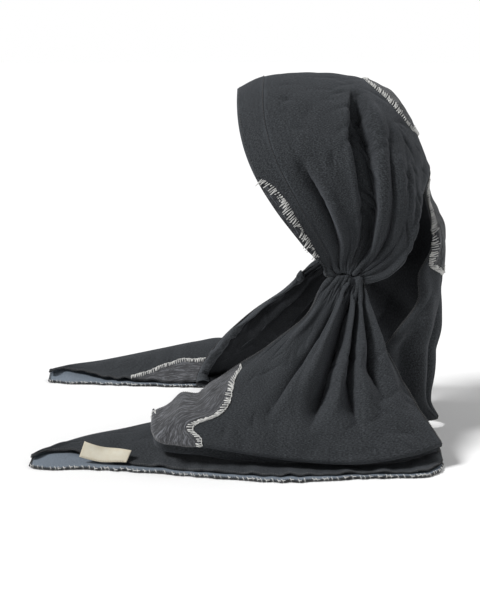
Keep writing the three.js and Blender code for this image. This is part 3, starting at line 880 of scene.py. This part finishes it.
def label_surface(along, up):
    sag = label_sag * (2 * along - 1) ** 2 + 0.5 * np.sin(along * 9)
    curl = 1.4 * ease(up, 0.5, 1) * np.sin(along * 7 + 0.6)
    height = label_height * up * mix(1.15, 0.9, along)
    slant = 4.5 * up
    out = left_tail_out * (label_out + 0.07 * along)
    return place(
        gather_back - left_end_forward * label_ahead + label_length * (along - 0.5) + slant,
        -gather_spacing / 2 - out + height * math.sin(label_lean) - curl,
        upper_layer + label_wall + sag * mix(1, 0.2, along) + 1 + height * math.cos(label_lean),
    )


# Node helpers
# Each input takes a link from another node, or a plain value.
def fill_inputs(tree, made, inputs):
    for name, value in inputs.items():
        if isinstance(value, bpy.types.NodeSocket):
            tree.links.new(value, made.inputs[name])
        else:
            made.inputs[name].default_value = value


def add_node(tree, kind, inputs=None, **settings):
    made = tree.nodes.new("ShaderNode" + kind)
    for name, value in settings.items():
        setattr(made, name, value)
    fill_inputs(tree, made, inputs or {})
    return made


def math_node(tree, operation, first, second=0.0):
    return add_node(tree, "Math", {0: first, 1: second}, operation=operation).outputs[0]


def times(tree, first, second):
    return math_node(tree, "MULTIPLY", first, second)


def plus(tree, first, second):
    return math_node(tree, "ADD", first, second)


# Even ridges, so many to a metre.
def ridges(tree, value, many):
    return math_node(tree, "PINGPONG", times(tree, value, many), 0.5)


def cloth_map(tree):
    return add_node(tree, "UVMap", uv_map="cloth").outputs[0]


def mix_colours(tree, share, first, second):
    made = add_node(tree, "Mix", {0: share, 6: first, 7: second}, data_type="RGBA")
    return made.outputs[2]


def noise(tree, vector, scale, detail=2.0, roughness=0.5, distortion=0.0):
    inputs = {"Vector": vector, "Scale": scale, "Detail": detail}
    inputs.update({"Roughness": roughness, "Distortion": distortion})
    return add_node(tree, "TexNoise", inputs).outputs[0]


def stretch(tree, vector, scale, turn=0.0):
    inputs = {"Vector": vector, "Scale": scale, "Rotation": (0, 0, turn)}
    return add_node(tree, "Mapping", inputs).outputs[0]


def between(tree, value, low, high, to_low=0.0, to_high=1.0):
    inputs = {0: value, 1: low, 2: high, 3: to_low, 4: to_high}
    return add_node(tree, "MapRange", inputs).outputs[0]


def new_group(name, inputs, outputs):
    tree = bpy.data.node_groups.new(name, "ShaderNodeTree")
    kinds = {"vector": "NodeSocketVector", "value": "NodeSocketFloat"}
    for socket, kind in inputs.items():
        tree.interface.new_socket(socket, in_out="INPUT", socket_type=kinds[kind])
    for socket in outputs:
        tree.interface.new_socket(socket, in_out="OUTPUT", socket_type="NodeSocketFloat")
    return tree, tree.nodes.new("NodeGroupInput"), tree.nodes.new("NodeGroupOutput")


# Rows of small knitted loops, on a map in metres.
def knit_loops_group():
    inputs = {"Map": "vector", "Loops per metre": "value"}
    tree, given, out = new_group("knit loops", inputs, ["Height"])
    parts = add_node(tree, "SeparateXYZ", {0: given.outputs["Map"]})
    loops = given.outputs["Loops per metre"]
    course = times(tree, times(tree, parts.outputs[1], loops), 1.3)
    leg = ridges(tree, parts.outputs[0], loops)
    slanted = plus(tree, course, leg)
    row = math_node(tree, "PINGPONG", slanted, 0.5)
    ridge = math_node(tree, "SINE", times(tree, leg, math.tau))
    height = plus(tree, times(tree, row, 1.4), times(tree, ridge, 0.5))
    tree.links.new(height, out.inputs["Height"])
    return tree


# Pale flecks in a dark yarn, thin slubs along the rows, and the broad fading of washed cloth.
def heather_group():
    tree, given, out = new_group("heather", {"Map": "vector"}, ["Flecks", "Fading"])
    cloth = given.outputs["Map"]
    fine = noise(tree, cloth, 800.0, 4.0, 0.85)
    slubs = noise(tree, stretch(tree, cloth, (420.0, 2200.0, 1.0)), 1.0, 2.0, 0.6)
    sparks = between(tree, times(tree, fine, slubs), 0.19, 0.37)
    fading = between(tree, noise(tree, cloth, 22.0, 4.0, 0.6), 0.3, 0.7)
    tree.links.new(sparks, out.inputs["Flecks"])
    tree.links.new(fading, out.inputs["Fading"])
    return tree


# Fuzz of worn fibres and small creases.
def fuzz_group():
    tree, given, out = new_group("fuzz", {"Map": "vector"}, ["Height"])
    cloth = given.outputs["Map"]
    fibres = noise(tree, cloth, 1400.0, 4.0, 0.75)
    wrinkles = noise(tree, stretch(tree, cloth, (60.0, 95.0, 60.0), 0.5), 1.0, 4.0, 0.6, 0.7)
    height = plus(tree, times(tree, fibres, 0.25), times(tree, wrinkles, 1.6))
    tree.links.new(height, out.inputs["Height"])
    return tree


knit_loops = knit_loops_group()
heather = heather_group()
fuzz = fuzz_group()


def group_node(tree, group, inputs):
    made = tree.nodes.new("ShaderNodeGroup")
    made.node_tree = group
    fill_inputs(tree, made, inputs)
    return made


def new_material(name, colour):
    material = bpy.data.materials.new(name)
    material.use_nodes = True
    material.diffuse_color = (*colour, 1)
    tree = material.node_tree
    return material, tree, tree.nodes["Principled BSDF"]


def edge_wear(tree):
    return add_node(tree, "Attribute", attribute_name="edge").outputs["Fac"]


def bump(tree, height, strength, distance, shader):
    inputs = {"Height": height, "Strength": strength, "Distance": distance}
    made = add_node(tree, "Bump", inputs)
    tree.links.new(made.outputs[0], shader.inputs["Normal"])


def rgba(colour, by=1.0):
    return (*(part * by for part in colour), 1)


# Jersey: a dark heathered knit, faded in broad patches and rubbed paler along its edges.
def jersey(name, colour, fleck, sheen, wear=0.5, shine=0.25):
    material, tree, shader = new_material(name, colour)
    cloth = cloth_map(tree)
    tone = group_node(tree, heather, {"Map": cloth})
    faded = mix_colours(tree, tone.outputs["Fading"], rgba(colour, 0.82), rgba(colour, 1.2))
    flecked = mix_colours(tree, times(tree, tone.outputs["Flecks"], 0.75), faded, rgba(fleck))
    rubbed = times(tree, edge_wear(tree), times(tree, tone.outputs["Fading"], wear))
    tree.links.new(mix_colours(tree, rubbed, flecked, rgba(fleck, 1.5)), shader.inputs["Base Color"])
    tree.links.new(between(tree, tone.outputs["Flecks"], 0, 1, 0.95, 0.8), shader.inputs["Roughness"])
    shader.inputs["Specular IOR Level"].default_value = shine
    shader.inputs["Sheen Weight"].default_value = sheen
    shader.inputs["Sheen Roughness"].default_value = 0.55
    shader.inputs["Sheen Tint"].default_value = (0.75, 0.8, 0.9, 1)
    loops = group_node(tree, knit_loops, {"Map": cloth, "Loops per metre": 1100.0})
    hair = group_node(tree, fuzz, {"Map": cloth})
    height = plus(tree, loops.outputs["Height"], times(tree, hair.outputs["Height"], 1.5))
    bump(tree, height, 0.4, 0.0003, shader)
    return material


# Darned patch: a greyer cloth covered in long thin scratches of pale thread.
def darned_cloth(name, colour, scratch):
    material, tree, shader = new_material(name, colour)
    cloth = cloth_map(tree)
    tone = group_node(tree, heather, {"Map": cloth})
    faded = mix_colours(tree, tone.outputs["Fading"], rgba(colour, 0.7), rgba(colour, 1.3))
    strokes = []
    for turn, scale in ((0.35, (90.0, 900.0, 1.0)), (-0.5, (120.0, 1100.0, 1.0)), (0.05, (60.0, 700.0, 1.0))):
        lines = noise(tree, stretch(tree, cloth, scale, turn), 1.0, 3.0, 0.55, 0.8)
        strokes.append(between(tree, lines, 0.56, 0.68))
    scratched = math_node(tree, "MAXIMUM", math_node(tree, "MAXIMUM", strokes[0], strokes[1]), strokes[2])
    shade = mix_colours(tree, times(tree, scratched, 0.75), faded, rgba(scratch))
    tree.links.new(shade, shader.inputs["Base Color"])
    tree.links.new(between(tree, scratched, 0, 1, 0.9, 0.7), shader.inputs["Roughness"])
    shader.inputs["Specular IOR Level"].default_value = 0.3
    shader.inputs["Sheen Weight"].default_value = 0.25
    shader.inputs["Sheen Roughness"].default_value = 0.5
    loops = group_node(tree, knit_loops, {"Map": cloth, "Loops per metre": 900.0})
    height = plus(tree, times(tree, scratched, 1.5), loops.outputs["Height"])
    bump(tree, height, 0.6, 0.0004, shader)
    return material


# Thread: twisted yarn with a soft grey tone here and there.
def thread(name, colour):
    material, tree, shader = new_material(name, colour)
    spot = add_node(tree, "TexCoord").outputs["Object"]
    soiled = between(tree, noise(tree, spot, 160.0, 3.0, 0.6), 0.3, 0.7)
    tree.links.new(mix_colours(tree, soiled, rgba(colour, 0.6), rgba(colour)), shader.inputs["Base Color"])
    twist = noise(tree, spot, 4200.0, 2.0, 0.6)
    tree.links.new(between(tree, twist, 0.3, 0.7, 0.65, 0.85), shader.inputs["Roughness"])
    shader.inputs["Sheen Weight"].default_value = 0.3
    bump(tree, twist, 0.7, 0.0002, shader)
    return material


# Elastic: ribbed along its length, with fine rubber cords under the braid.
def braided_elastic():
    colour = (0.012, 0.013, 0.016)
    material, tree, shader = new_material("braided_elastic", colour)
    cloth = cloth_map(tree)
    parts = add_node(tree, "SeparateXYZ", {0: cloth})
    cords = ridges(tree, parts.outputs[0], 900.0)
    braid = ridges(tree, parts.outputs[1], 1300.0)
    tone = group_node(tree, heather, {"Map": cloth})
    height = plus(tree, times(tree, cords, 2.0), braid)
    pale = times(tree, times(tree, height, tone.outputs["Fading"]), 0.35)
    tree.links.new(mix_colours(tree, pale, rgba(colour), rgba(colour, 4)), shader.inputs["Base Color"])
    tree.links.new(between(tree, braid, 0, 0.5, 0.75, 0.6), shader.inputs["Roughness"])
    shader.inputs["Sheen Weight"].default_value = 0.2
    bump(tree, height, 0.7, 0.0003, shader)
    return material


# Tape: a plain cream weave, a little soiled at its edges.
def cream_tape():
    colour = (0.5, 0.475, 0.39)
    material, tree, shader = new_material("cream_tape", colour)
    cloth = cloth_map(tree)
    parts = add_node(tree, "SeparateXYZ", {0: cloth})
    warp = ridges(tree, parts.outputs[0], 1500.0)
    weft = ridges(tree, parts.outputs[1], 2100.0)
    weave = plus(tree, warp, weft)
    stain = between(tree, noise(tree, cloth, 130.0, 4.0, 0.6), 0.4, 0.75)
    toned = mix_colours(tree, times(tree, stain, 0.45), rgba(colour), rgba((0.42, 0.35, 0.23)))
    soiled = mix_colours(tree, times(tree, edge_wear(tree), 0.35), toned, rgba((0.4, 0.33, 0.22)))
    woven = mix_colours(tree, times(tree, weave, 0.25), soiled, rgba((0.8, 0.76, 0.64)))
    tree.links.new(woven, shader.inputs["Base Color"])
    tree.links.new(between(tree, weave, 0, 1, 0.8, 0.62), shader.inputs["Roughness"])
    shader.inputs["Sheen Weight"].default_value = 0.15
    bump(tree, weave, 0.5, 0.0002, shader)
    return material


# Paper: an almost even white.
def paper_floor():
    colour = (0.9, 0.9, 0.9)
    material, tree, shader = new_material("paper_floor", colour)
    spot = add_node(tree, "TexCoord").outputs["Object"]
    tone = noise(tree, spot, 3.0, 3.0, 0.5)
    tree.links.new(mix_colours(tree, tone, rgba(colour, 0.985), rgba(colour)), shader.inputs["Base Color"])
    shader.inputs["Roughness"].default_value = 0.9
    return material


black_jersey = jersey("black_jersey", (0.0098, 0.0111, 0.0125), (0.063, 0.0695, 0.0775), 0.1)
wrong_side = jersey("jersey_wrong_side", (0.1, 0.125, 0.155), (0.26, 0.3, 0.35), 0.15)
# The inner side of the band, crown, fall and tails is the same wrong side as on the ends, but much darker and
# with less shine and sheen. This is painted shade inside the hood and behind the hanging cloth.
painted_shade_inner_jersey = jersey("painted_shade_inner_jersey", (0.0066, 0.0074, 0.0086), (0.026, 0.028, 0.032), 0.04, 0.4, 0.14)
darned = darned_cloth("darned_cloth", (0.042, 0.043, 0.047), (0.205, 0.213, 0.235))
dark_darned = darned_cloth("dark_darned_cloth", (0.016, 0.0175, 0.02), (0.12, 0.13, 0.15))
white_thread = thread("white_thread", (0.66, 0.66, 0.64))
black_thread = thread("black_thread", (0.007, 0.0075, 0.009))
cream_thread = thread("cream_thread", (0.6, 0.55, 0.42))
elastic_braid = braided_elastic()
tape = cream_tape()


# Making pieces
def only(piece):
    bpy.ops.object.select_all(action="DESELECT")
    piece.select_set(True)
    bpy.context.view_layer.objects.active = piece


def apply_modifier(piece, kind, **settings):
    only(piece)
    modifier = piece.modifiers.new(kind.lower(), kind)
    for name, value in settings.items():
        setattr(modifier, name, value)
    bpy.ops.object.modifier_apply(modifier=modifier.name)


def vertices_of(piece):
    points = np.empty(len(piece.data.vertices) * 3)
    piece.data.vertices.foreach_get("co", points)
    return points.reshape(-1, 3)


def set_vertices(piece, points):
    piece.data.vertices.foreach_set("co", (points * MM).ravel())
    piece.data.update()


# A piece's map, scaled from shares to metres.
def scale_map(piece, size, by=1):
    layer = piece.data.uv_layers[0]
    layer.name = "cloth"
    uv = np.empty(len(piece.data.loops) * 2)
    layer.data.foreach_get("uv", uv)
    layer.data.foreach_set("uv", (uv.reshape(-1, 2) * size * by).ravel())


def longest_runs(points, first, second):
    first, second = np.round(first, 5), np.round(second, 5)
    lines = len(np.unique(second)), len(np.unique(first))
    grid = points[np.lexsort((first, second))].reshape(*lines, 3)
    return [np.linalg.norm(np.diff(grid, axis=way), axis=2).sum(way).max() for way in (1, 0)]


# A map in metres on a grid, and how near each point is to one of its edges.
def measure_cloth(piece, points, first, second, surface):
    longest_runs(points, first, second)
    count = 40
    steps = np.linspace(0, 1, count)
    quarters = (0.25, 0.5, 0.75)
    across = [surface(steps, np.full(count, at)) for at in quarters]
    along = [surface(np.full(count, at), steps) for at in quarters]
    size = [np.mean([steps_of(line).sum() for line in lines]) for lines in (across, along)]
    scale_map(piece, np.array(size), MM)
    ends = np.minimum(first, 1 - first) * size[0]
    nearest = np.minimum(ends, np.minimum(second, 1 - second) * size[1])
    edge = piece.data.attributes.new("edge", "FLOAT", "POINT")
    edge.data.foreach_set("value", hump(nearest / rubbed_width))


# A sheet of cloth: a grid bent onto a surface and given its thickness. The first material is on the
# side that the surface's normal points to.
def cloth_piece(name, surface, steps, wall, materials):
    bpy.ops.object.select_all(action="DESELECT")
    bpy.ops.mesh.primitive_grid_add(x_subdivisions=steps[0], y_subdivisions=steps[1], size=1)
    cloth = bpy.context.object
    cloth.name = cloth.data.name = name + "_cloth"
    flat = vertices_of(cloth)
    first, second = np.clip(flat[:, 0] + 0.5, 0, 1), np.clip(flat[:, 1] + 0.5, 0, 1)
    points = surface(first, second)
    measure_cloth(cloth, points, first, second, surface)
    set_vertices(cloth, points)
    for material in materials:
        cloth.data.materials.append(material)
    settings = dict(thickness=wall * MM, offset=0, use_rim=True)
    apply_modifier(cloth, "SOLIDIFY", material_offset=len(materials) - 1, **settings)
    bpy.ops.object.shade_smooth()
    return finish_piece(cloth)


def finish_piece(piece):
    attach(piece, "root")
    return piece


# Thread laid along many short lines.
def thread_piece(name, lines, radius, material):
    curve = bpy.data.curves.new(name, "CURVE")
    curve.dimensions = "3D"
    curve.bevel_depth = radius * MM
    curve.bevel_resolution = 1
    curve.use_fill_caps = True
    for line in lines:
        spline = curve.splines.new("POLY")
        spline.points.add(len(line) - 1)
        spline.points.foreach_set("co", np.c_[line * MM, np.ones(len(line))].ravel())
    piece = bpy.data.objects.new(name, curve)
    bpy.context.collection.objects.link(piece)
    only(piece)
    bpy.ops.object.convert(target="MESH")
    piece = bpy.context.object
    piece.data.materials.append(material)
    bpy.ops.object.shade_smooth()
    return finish_piece(piece)


# Points at an even spacing along one edge of a surface, with the directions into it, along it and out of
# it. The edge is named by the share that stays fixed, and its value.
def edge_points(surface, fixed, value, pitch, start=0.0, end=1.0, face=1):
    steps = 600
    fine = np.linspace(start, end, steps)

    def at(moving, rest):
        return surface(rest, moving) if fixed == "first" else surface(moving, rest)

    line = at(fine, np.full(steps, value))
    length = run_along(line)
    count = max(int(length[-1] / pitch), 2)
    share = np.interp(np.linspace(0, length[-1], count), length, fine)
    edge = at(share, np.full(count, value))
    inside = at(share, np.full(count, abs(value - 0.03)))
    rest = np.full(count, np.clip(value, 0.004, 0.996))
    shares = (rest, share) if fixed == "first" else (share, rest)
    return edge, unit(inside - edge), unit(np.gradient(edge, axis=0)), normal_of(surface, *shares) * face


# Blanket stitches along an edge: thread goes to and fro over it, and a cord runs along it.
def blanket_stitch(edge, inward, along, out, reach, seed, corded):
    chance = np.random.default_rng(seed)
    lift = patch_wall / 2 + stitch_thread * 0.7
    strokes = []
    for point, inside, forward, away in zip(edge, inward, along, out):
        length = reach * chance.uniform(0.7, 1.15)
        lean = forward * chance.uniform(0.3, 1.3)
        outer = point - inside * chance.uniform(1.0, 2.2) - away * patch_wall * 0.4
        tip = point + inside * length + lean + away * lift * 0.9
        bend = (outer + tip) / 2 + lean * 0.3 + away * (lift + chance.uniform(0, 0.5))
        strokes.append(np.array([outer, bend, tip, tip - away * lift * 1.6]))
        if chance.uniform() < 0.45:
            back = outer + forward * blanket_pitch * chance.uniform(0.5, 1.1)
            bend_back = (back + tip) / 2 + lean * 0.2 + away * (lift + chance.uniform(0, 0.4))
            strokes.append(np.array([tip, bend_back, back]))
    wave = np.sin(np.arange(len(edge)) * 2.4)[:, None]
    cord = edge - inward * (1.1 + 0.6 * wave) + out * (lift * 0.2)
    return strokes + [cord] if corded else strokes


def stitched_edges(name, surface, edges, reach, seed, face, corded):
    lines = []
    for number, (fixed, value, start, end) in enumerate(edges):
        found = edge_points(surface, fixed, value, blanket_pitch, start, end, face)
        lines += blanket_stitch(*found, reach, seed + number, corded)
    return thread_piece(name, lines, stitch_thread, white_thread)


# Overlocking: thread wound round an edge, over one face and back under the other.
def overlock(name, surface, edges, wall):
    lines = []
    height = wall / 2 + hem_thread
    reach = overlock_reach
    for fixed, value, start, end in edges:
        pitch = overlock_pitch / overlock_points
        edge, inward, _, out = edge_points(surface, fixed, value, pitch, start, end)
        turn = (np.arange(len(edge)) * math.tau / overlock_points)[:, None]
        wound = edge + inward * (reach * 0.38 + reach * 0.62 * np.cos(turn)) + out * height * np.sin(turn)
        lines.append(wound)
    return thread_piece(name, lines, hem_thread, black_thread)


# Short running stitches along a line that lies on a surface.
def running_stitch(line, out, stitch, gap, wall):
    length = run_along(line)
    lines = []
    for start in np.arange(0, length[-1] - stitch, stitch + gap):
        spots = start + stitch * np.array([0, 0.15, 0.5, 0.85, 1])
        points = np.stack([np.interp(spots, length, line[:, axis]) for axis in range(3)], axis=1)
        away = np.stack([np.interp(spots, length, out[:, axis]) for axis in range(3)], axis=1)
        lift = wall / 2 + seam_thread * np.array([-1.5, 0.3, 0.8, 0.3, -1.5])
        lines.append(points + away * lift[:, None])
    return lines


# Uneven slanting dashes of thread over the very edge of a hem, where the overlocking shows white.
def hem_dashes(edge, inward, along, out, seed):
    chance = np.random.default_rng(seed)
    lift = jersey_wall / 2 + 2.4 * hem_thread
    lines = []
    spot = 2
    while spot < len(edge) - 4:
        point, inside, forward, away = edge[spot], inward[spot], along[spot], out[spot]
        start = point + inside * chance.uniform(1.2, 2.6) + away * lift
        rim = point - inside * 1.3 + forward * chance.uniform(0.4, 1.6) + away * lift * 0.7
        under = rim - away * lift * 1.2 + forward * chance.uniform(0, 0.8)
        lines.append(np.array([start - away * 0.6, start, rim, under]))
        if chance.uniform() < 0.5:
            lines.append(np.array([rim, rim + forward * chance.uniform(1.5, 3.5)]))
        spot += chance.integers(4, 11)
    return lines


def seam_line(surface, back, count=900):
    over = np.linspace(0.01, 0.99, count)
    shares = (np.full(count, back), over)
    return surface(*shares), normal_of(surface, *shares)


# The gather: cloth bunched into a small knot, pleated all round and pinched along its middle.
knot_pleats = 17
knot_fine_pleats = 29
knot_map = 0.05


def knot_shape(ball, side):
    turn = np.arctan2(ball[:, 1], ball[:, 0])
    height = ball[:, 2]
    twist = turn + 0.35 * height + 0.06 * np.sin(turn * 5)
    pleats = 0.5 * np.cos(twist * knot_pleats) + 0.25 * np.cos(twist * knot_fine_pleats + 1)
    pinch = 1 - 0.12 * hump(height / 0.25)
    radius = gather_radius * (1 + 0.2 * (pleats - 0.4)) * pinch
    flare = 0.5 * gather_thickness * (1 + 0.12 * np.cos(twist * knot_pleats + 2) * (1 - height**2))
    return place(
        gather_back - 4 + ball[:, 0] * radius * 1.25,
        side * gather_spacing / 2 - height * flare * side,
        -gather_drop + ball[:, 1] * radius * side * 0.75,
    )


def gather_piece(name, side):
    bpy.ops.object.select_all(action="DESELECT")
    bpy.ops.mesh.primitive_uv_sphere_add(segments=180, ring_count=48, radius=1, location=(0, 0, 0))
    knot = bpy.context.object
    knot.name = knot.data.name = name + "_knot"
    scale_map(knot, knot_map)
    set_vertices(knot, knot_shape(vertices_of(knot), side))
    knot.data.materials.append(black_jersey)
    only(knot)
    bpy.ops.object.mode_set(mode="EDIT")
    bpy.ops.mesh.select_all(action="SELECT")
    bpy.ops.mesh.normals_make_consistent(inside=False)
    bpy.ops.object.mode_set(mode="OBJECT")
    bpy.ops.object.shade_smooth()
    return finish_piece(knot)


# Hides the imported part that a piece stands in for. Nothing shows the size that the cloth was cut to.
# Each sheet's flat size is therefore read off its own modelled surface: its longest run each way, and its
# area. As it follows the shape, it can't show whether the shape is stretched. The elastic's rims and
# ruching bring its area over its width times its length, so its width is widened to match.
def declare(node):
    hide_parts(node)


def sewn_crown():
    band = cloth_piece("front_band", band_surface, (14, 260), band_wall, [black_jersey, painted_shade_inner_jersey])
    seam = running_stitch(*seam_line(band_surface, 0.975), 2.4, 0.7, band_wall)
    turned = running_stitch(*seam_line(band_surface, 0.1), 1.9, 1.0, band_wall)
    seam_stitches = thread_piece("band_seam_stitches", seam + turned, seam_thread, black_thread)
    crown = cloth_piece("crown", crown_surface, (190, 250), jersey_wall, [black_jersey, painted_shade_inner_jersey])
    back_hem = overlock("crown_back_overlock", crown_surface, [("first", 1, 0.03, 0.97)], jersey_wall)
    declare("front_band")
    declare("crown")


def back_fall():
    fall = cloth_piece("back_fall", fall_surface, (170, 150), jersey_wall, [black_jersey, painted_shade_inner_jersey])
    edges = [("second", 0, 0.1, 1), ("second", 1, 0.1, 1), ("first", 1, 0, 1)]
    hem = overlock("back_fall_overlock", fall_surface, edges, jersey_wall)
    declare("back_fall")


def gathers():
    for name, side in (("left_gather", -1), ("right_gather", 1)):
        knot = gather_piece(name, side)
        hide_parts(name)


def nape_elastic():
    elastic = cloth_piece("nape_elastic", elastic_surface, (16, 300), elastic_wall, [elastic_braid])
    declare("nape_elastic")


# Both side edges of a tail, from just below its gather.
tail_edges = [("first", 0, 0.03, 1), ("first", 1, 0.03, 1)]


def left_tail():
    sides = [painted_shade_inner_jersey, black_jersey]
    tail = cloth_piece("left_tail", left_tail_surface, (220, 190), jersey_wall, sides)
    hem = overlock("left_tail_overlock", left_tail_surface, tail_edges, jersey_wall)
    declare("left_tail")


def right_tail():
    sides = [black_jersey, painted_shade_inner_jersey]
    tail = cloth_piece("right_tail", right_tail_surface, (200, 170), jersey_wall, sides)
    hem = overlock("right_tail_overlock", right_tail_surface, tail_edges, jersey_wall)
    roll = cloth_piece("right_tail_turned_edge", turned_edge, (16, 110), jersey_wall, [black_jersey])
    declare("right_tail")


def tail_end(name, surface):
    end = cloth_piece(name, surface, (240, 130), jersey_wall, [black_jersey, wrong_side])
    edges = [("second", 0, 0, 1), ("second", 1, 0, 1), ("first", 0, 0, 1), ("first", 1, 0, 1)]
    bound = overlock(name + "_overlock", surface, edges, jersey_wall)
    hem_line, inward, along, out = edge_points(surface, "second", 1, 0.8)
    dashes = hem_dashes(hem_line, inward, along, -out, 5)
    white = thread_piece(name + "_hem_dashes", dashes, hem_thread, white_thread)
    declare(name)


# The patches on the tails are paler and have a cord along their stitches.
def patch(name, surface, steps, edges, reach, seed, face=1, pale=False):
    cloth = cloth_piece(name, surface, steps, patch_wall, [darned if pale else dark_darned])
    stitches = stitched_edges(name + "_stitches", surface, edges, reach, seed, face, pale)
    declare(name)


def patches():
    all_round = [("second", 1, 0, 1), ("second", 0, 0, 1), ("first", 0, 0, 1), ("first", 1, 0, 1)]
    arc = [("second", 1, 0.01, 0.96)]
    patch("temple_patch", temple_surface, (90, 30), arc, 7, 61, -1)
    patch("crown_top_patch", crown_top_surface, (80, 70), all_round, 6, 71)
    patch("fall_patch", fall_patch_surface, (70, 90), all_round, 6.5, 81)
    corner = [("second", 1, 0, 0.86), ("second", 0, 0.8, 0.98)]
    patch("left_tail_patch", left_patch_surface, (90, 70), corner, 4, 91, pale=True)
    patch("right_tail_patch", right_patch_surface, (70, 50), arc, 3.5, 101, pale=True)


def label():
    piece = cloth_piece("label", label_surface, (60, 20), label_wall, [tape])
    foot, inward, _, out = edge_points(label_surface, "second", 0, 0.5, 0.03, 0.97)
    rows = running_stitch(foot + inward * 1.2, out, 1.4, 0.9, label_wall)
    rows += running_stitch(foot + inward * 1.2, -out, 1.4, 0.9, label_wall)
    stitches = thread_piece("label_stitches", rows, seam_thread, cream_thread)
    declare("label")


# Stage
# A wide pale floor with a low rim bent down at its edge.
def floor():
    bpy.ops.object.select_all(action="DESELECT")
    centre = (view_aim[0], 0, table_top * MM - floor_gap)
    bpy.ops.mesh.primitive_circle_add(vertices=96, radius=floor_radius, fill_type="NGON", location=centre)
    ground = bpy.context.object
    ground.name = "floor"
    bpy.ops.object.mode_set(mode="EDIT")
    bpy.ops.mesh.select_all(action="SELECT")
    bpy.ops.mesh.select_mode(type="EDGE")
    bpy.ops.mesh.region_to_loop()
    bpy.ops.mesh.extrude_region_move(TRANSFORM_OT_translate={"value": (0, 0, -floor_rim)})
    bpy.ops.transform.resize(value=(1.002, 1.002, 1), center_override=centre)
    bpy.ops.object.mode_set(mode="OBJECT")
    bpy.ops.object.transform_apply(location=True, rotation=True, scale=True)
    ground.data.materials.append(paper_floor())


def sun_light(name, direction, power, softness):
    lamp = bpy.data.lights.new(name, "SUN")
    lamp.energy, lamp.angle = power, math.radians(softness)
    holder = bpy.data.objects.new(name, lamp)
    bpy.context.collection.objects.link(holder)
    holder.rotation_euler = Vector(direction).to_track_quat("-Z", "Y").to_euler()


# Soft daylight from the front and above, a weaker light from behind, and white beyond the floor.
def studio():
    sun_light("key_light", (0.88, 0.42, -1.0), key_power, 15)
    sun_light("back_light", (-0.8, -0.4, -0.9), back_power, 40)
    world = bpy.data.worlds.new("studio")
    world.use_nodes = True
    tree = world.node_tree
    ambient = tree.nodes["Background"]
    ambient.inputs["Strength"].default_value = ambient_strength
    ambient.inputs["Color"].default_value = (1, 1, 1, 1)
    seen = add_node(tree, "Background", {"Color": (1, 1, 1, 1), "Strength": 1.0}).outputs[0]
    straight = add_node(tree, "LightPath").outputs["Is Camera Ray"]
    both = add_node(tree, "MixShader", {0: straight, 1: ambient.outputs[0], 2: seen})
    tree.links.new(both.outputs[0], tree.nodes["World Output"].inputs["Surface"])
    bpy.context.scene.world = world
    bpy.context.scene.view_settings.view_transform = "Standard"


# The camera looks square at the left side from a little above.
def camera():
    rise = math.radians(view_rise)
    aim = Vector(view_aim)
    spot = aim + Vector((0, -math.cos(rise), math.sin(rise))) * view_distance
    lens = bpy.data.cameras.new("camera")
    lens.lens, lens.sensor_width, lens.clip_start = 78, 36, 0.05
    holder = bpy.data.objects.new("camera", lens)
    bpy.context.collection.objects.link(holder)
    holder.location = spot
    holder.rotation_euler = (aim - spot).to_track_quat("-Z", "Y").to_euler()
    bpy.context.scene.camera = holder


sewn_crown()
back_fall()
gathers()
nape_elastic()
left_tail()
right_tail()
tail_end("left_tail_end", left_end_surface)
tail_end("right_tail_end", right_end_surface)
patches()
label()
floor()
studio()
camera()
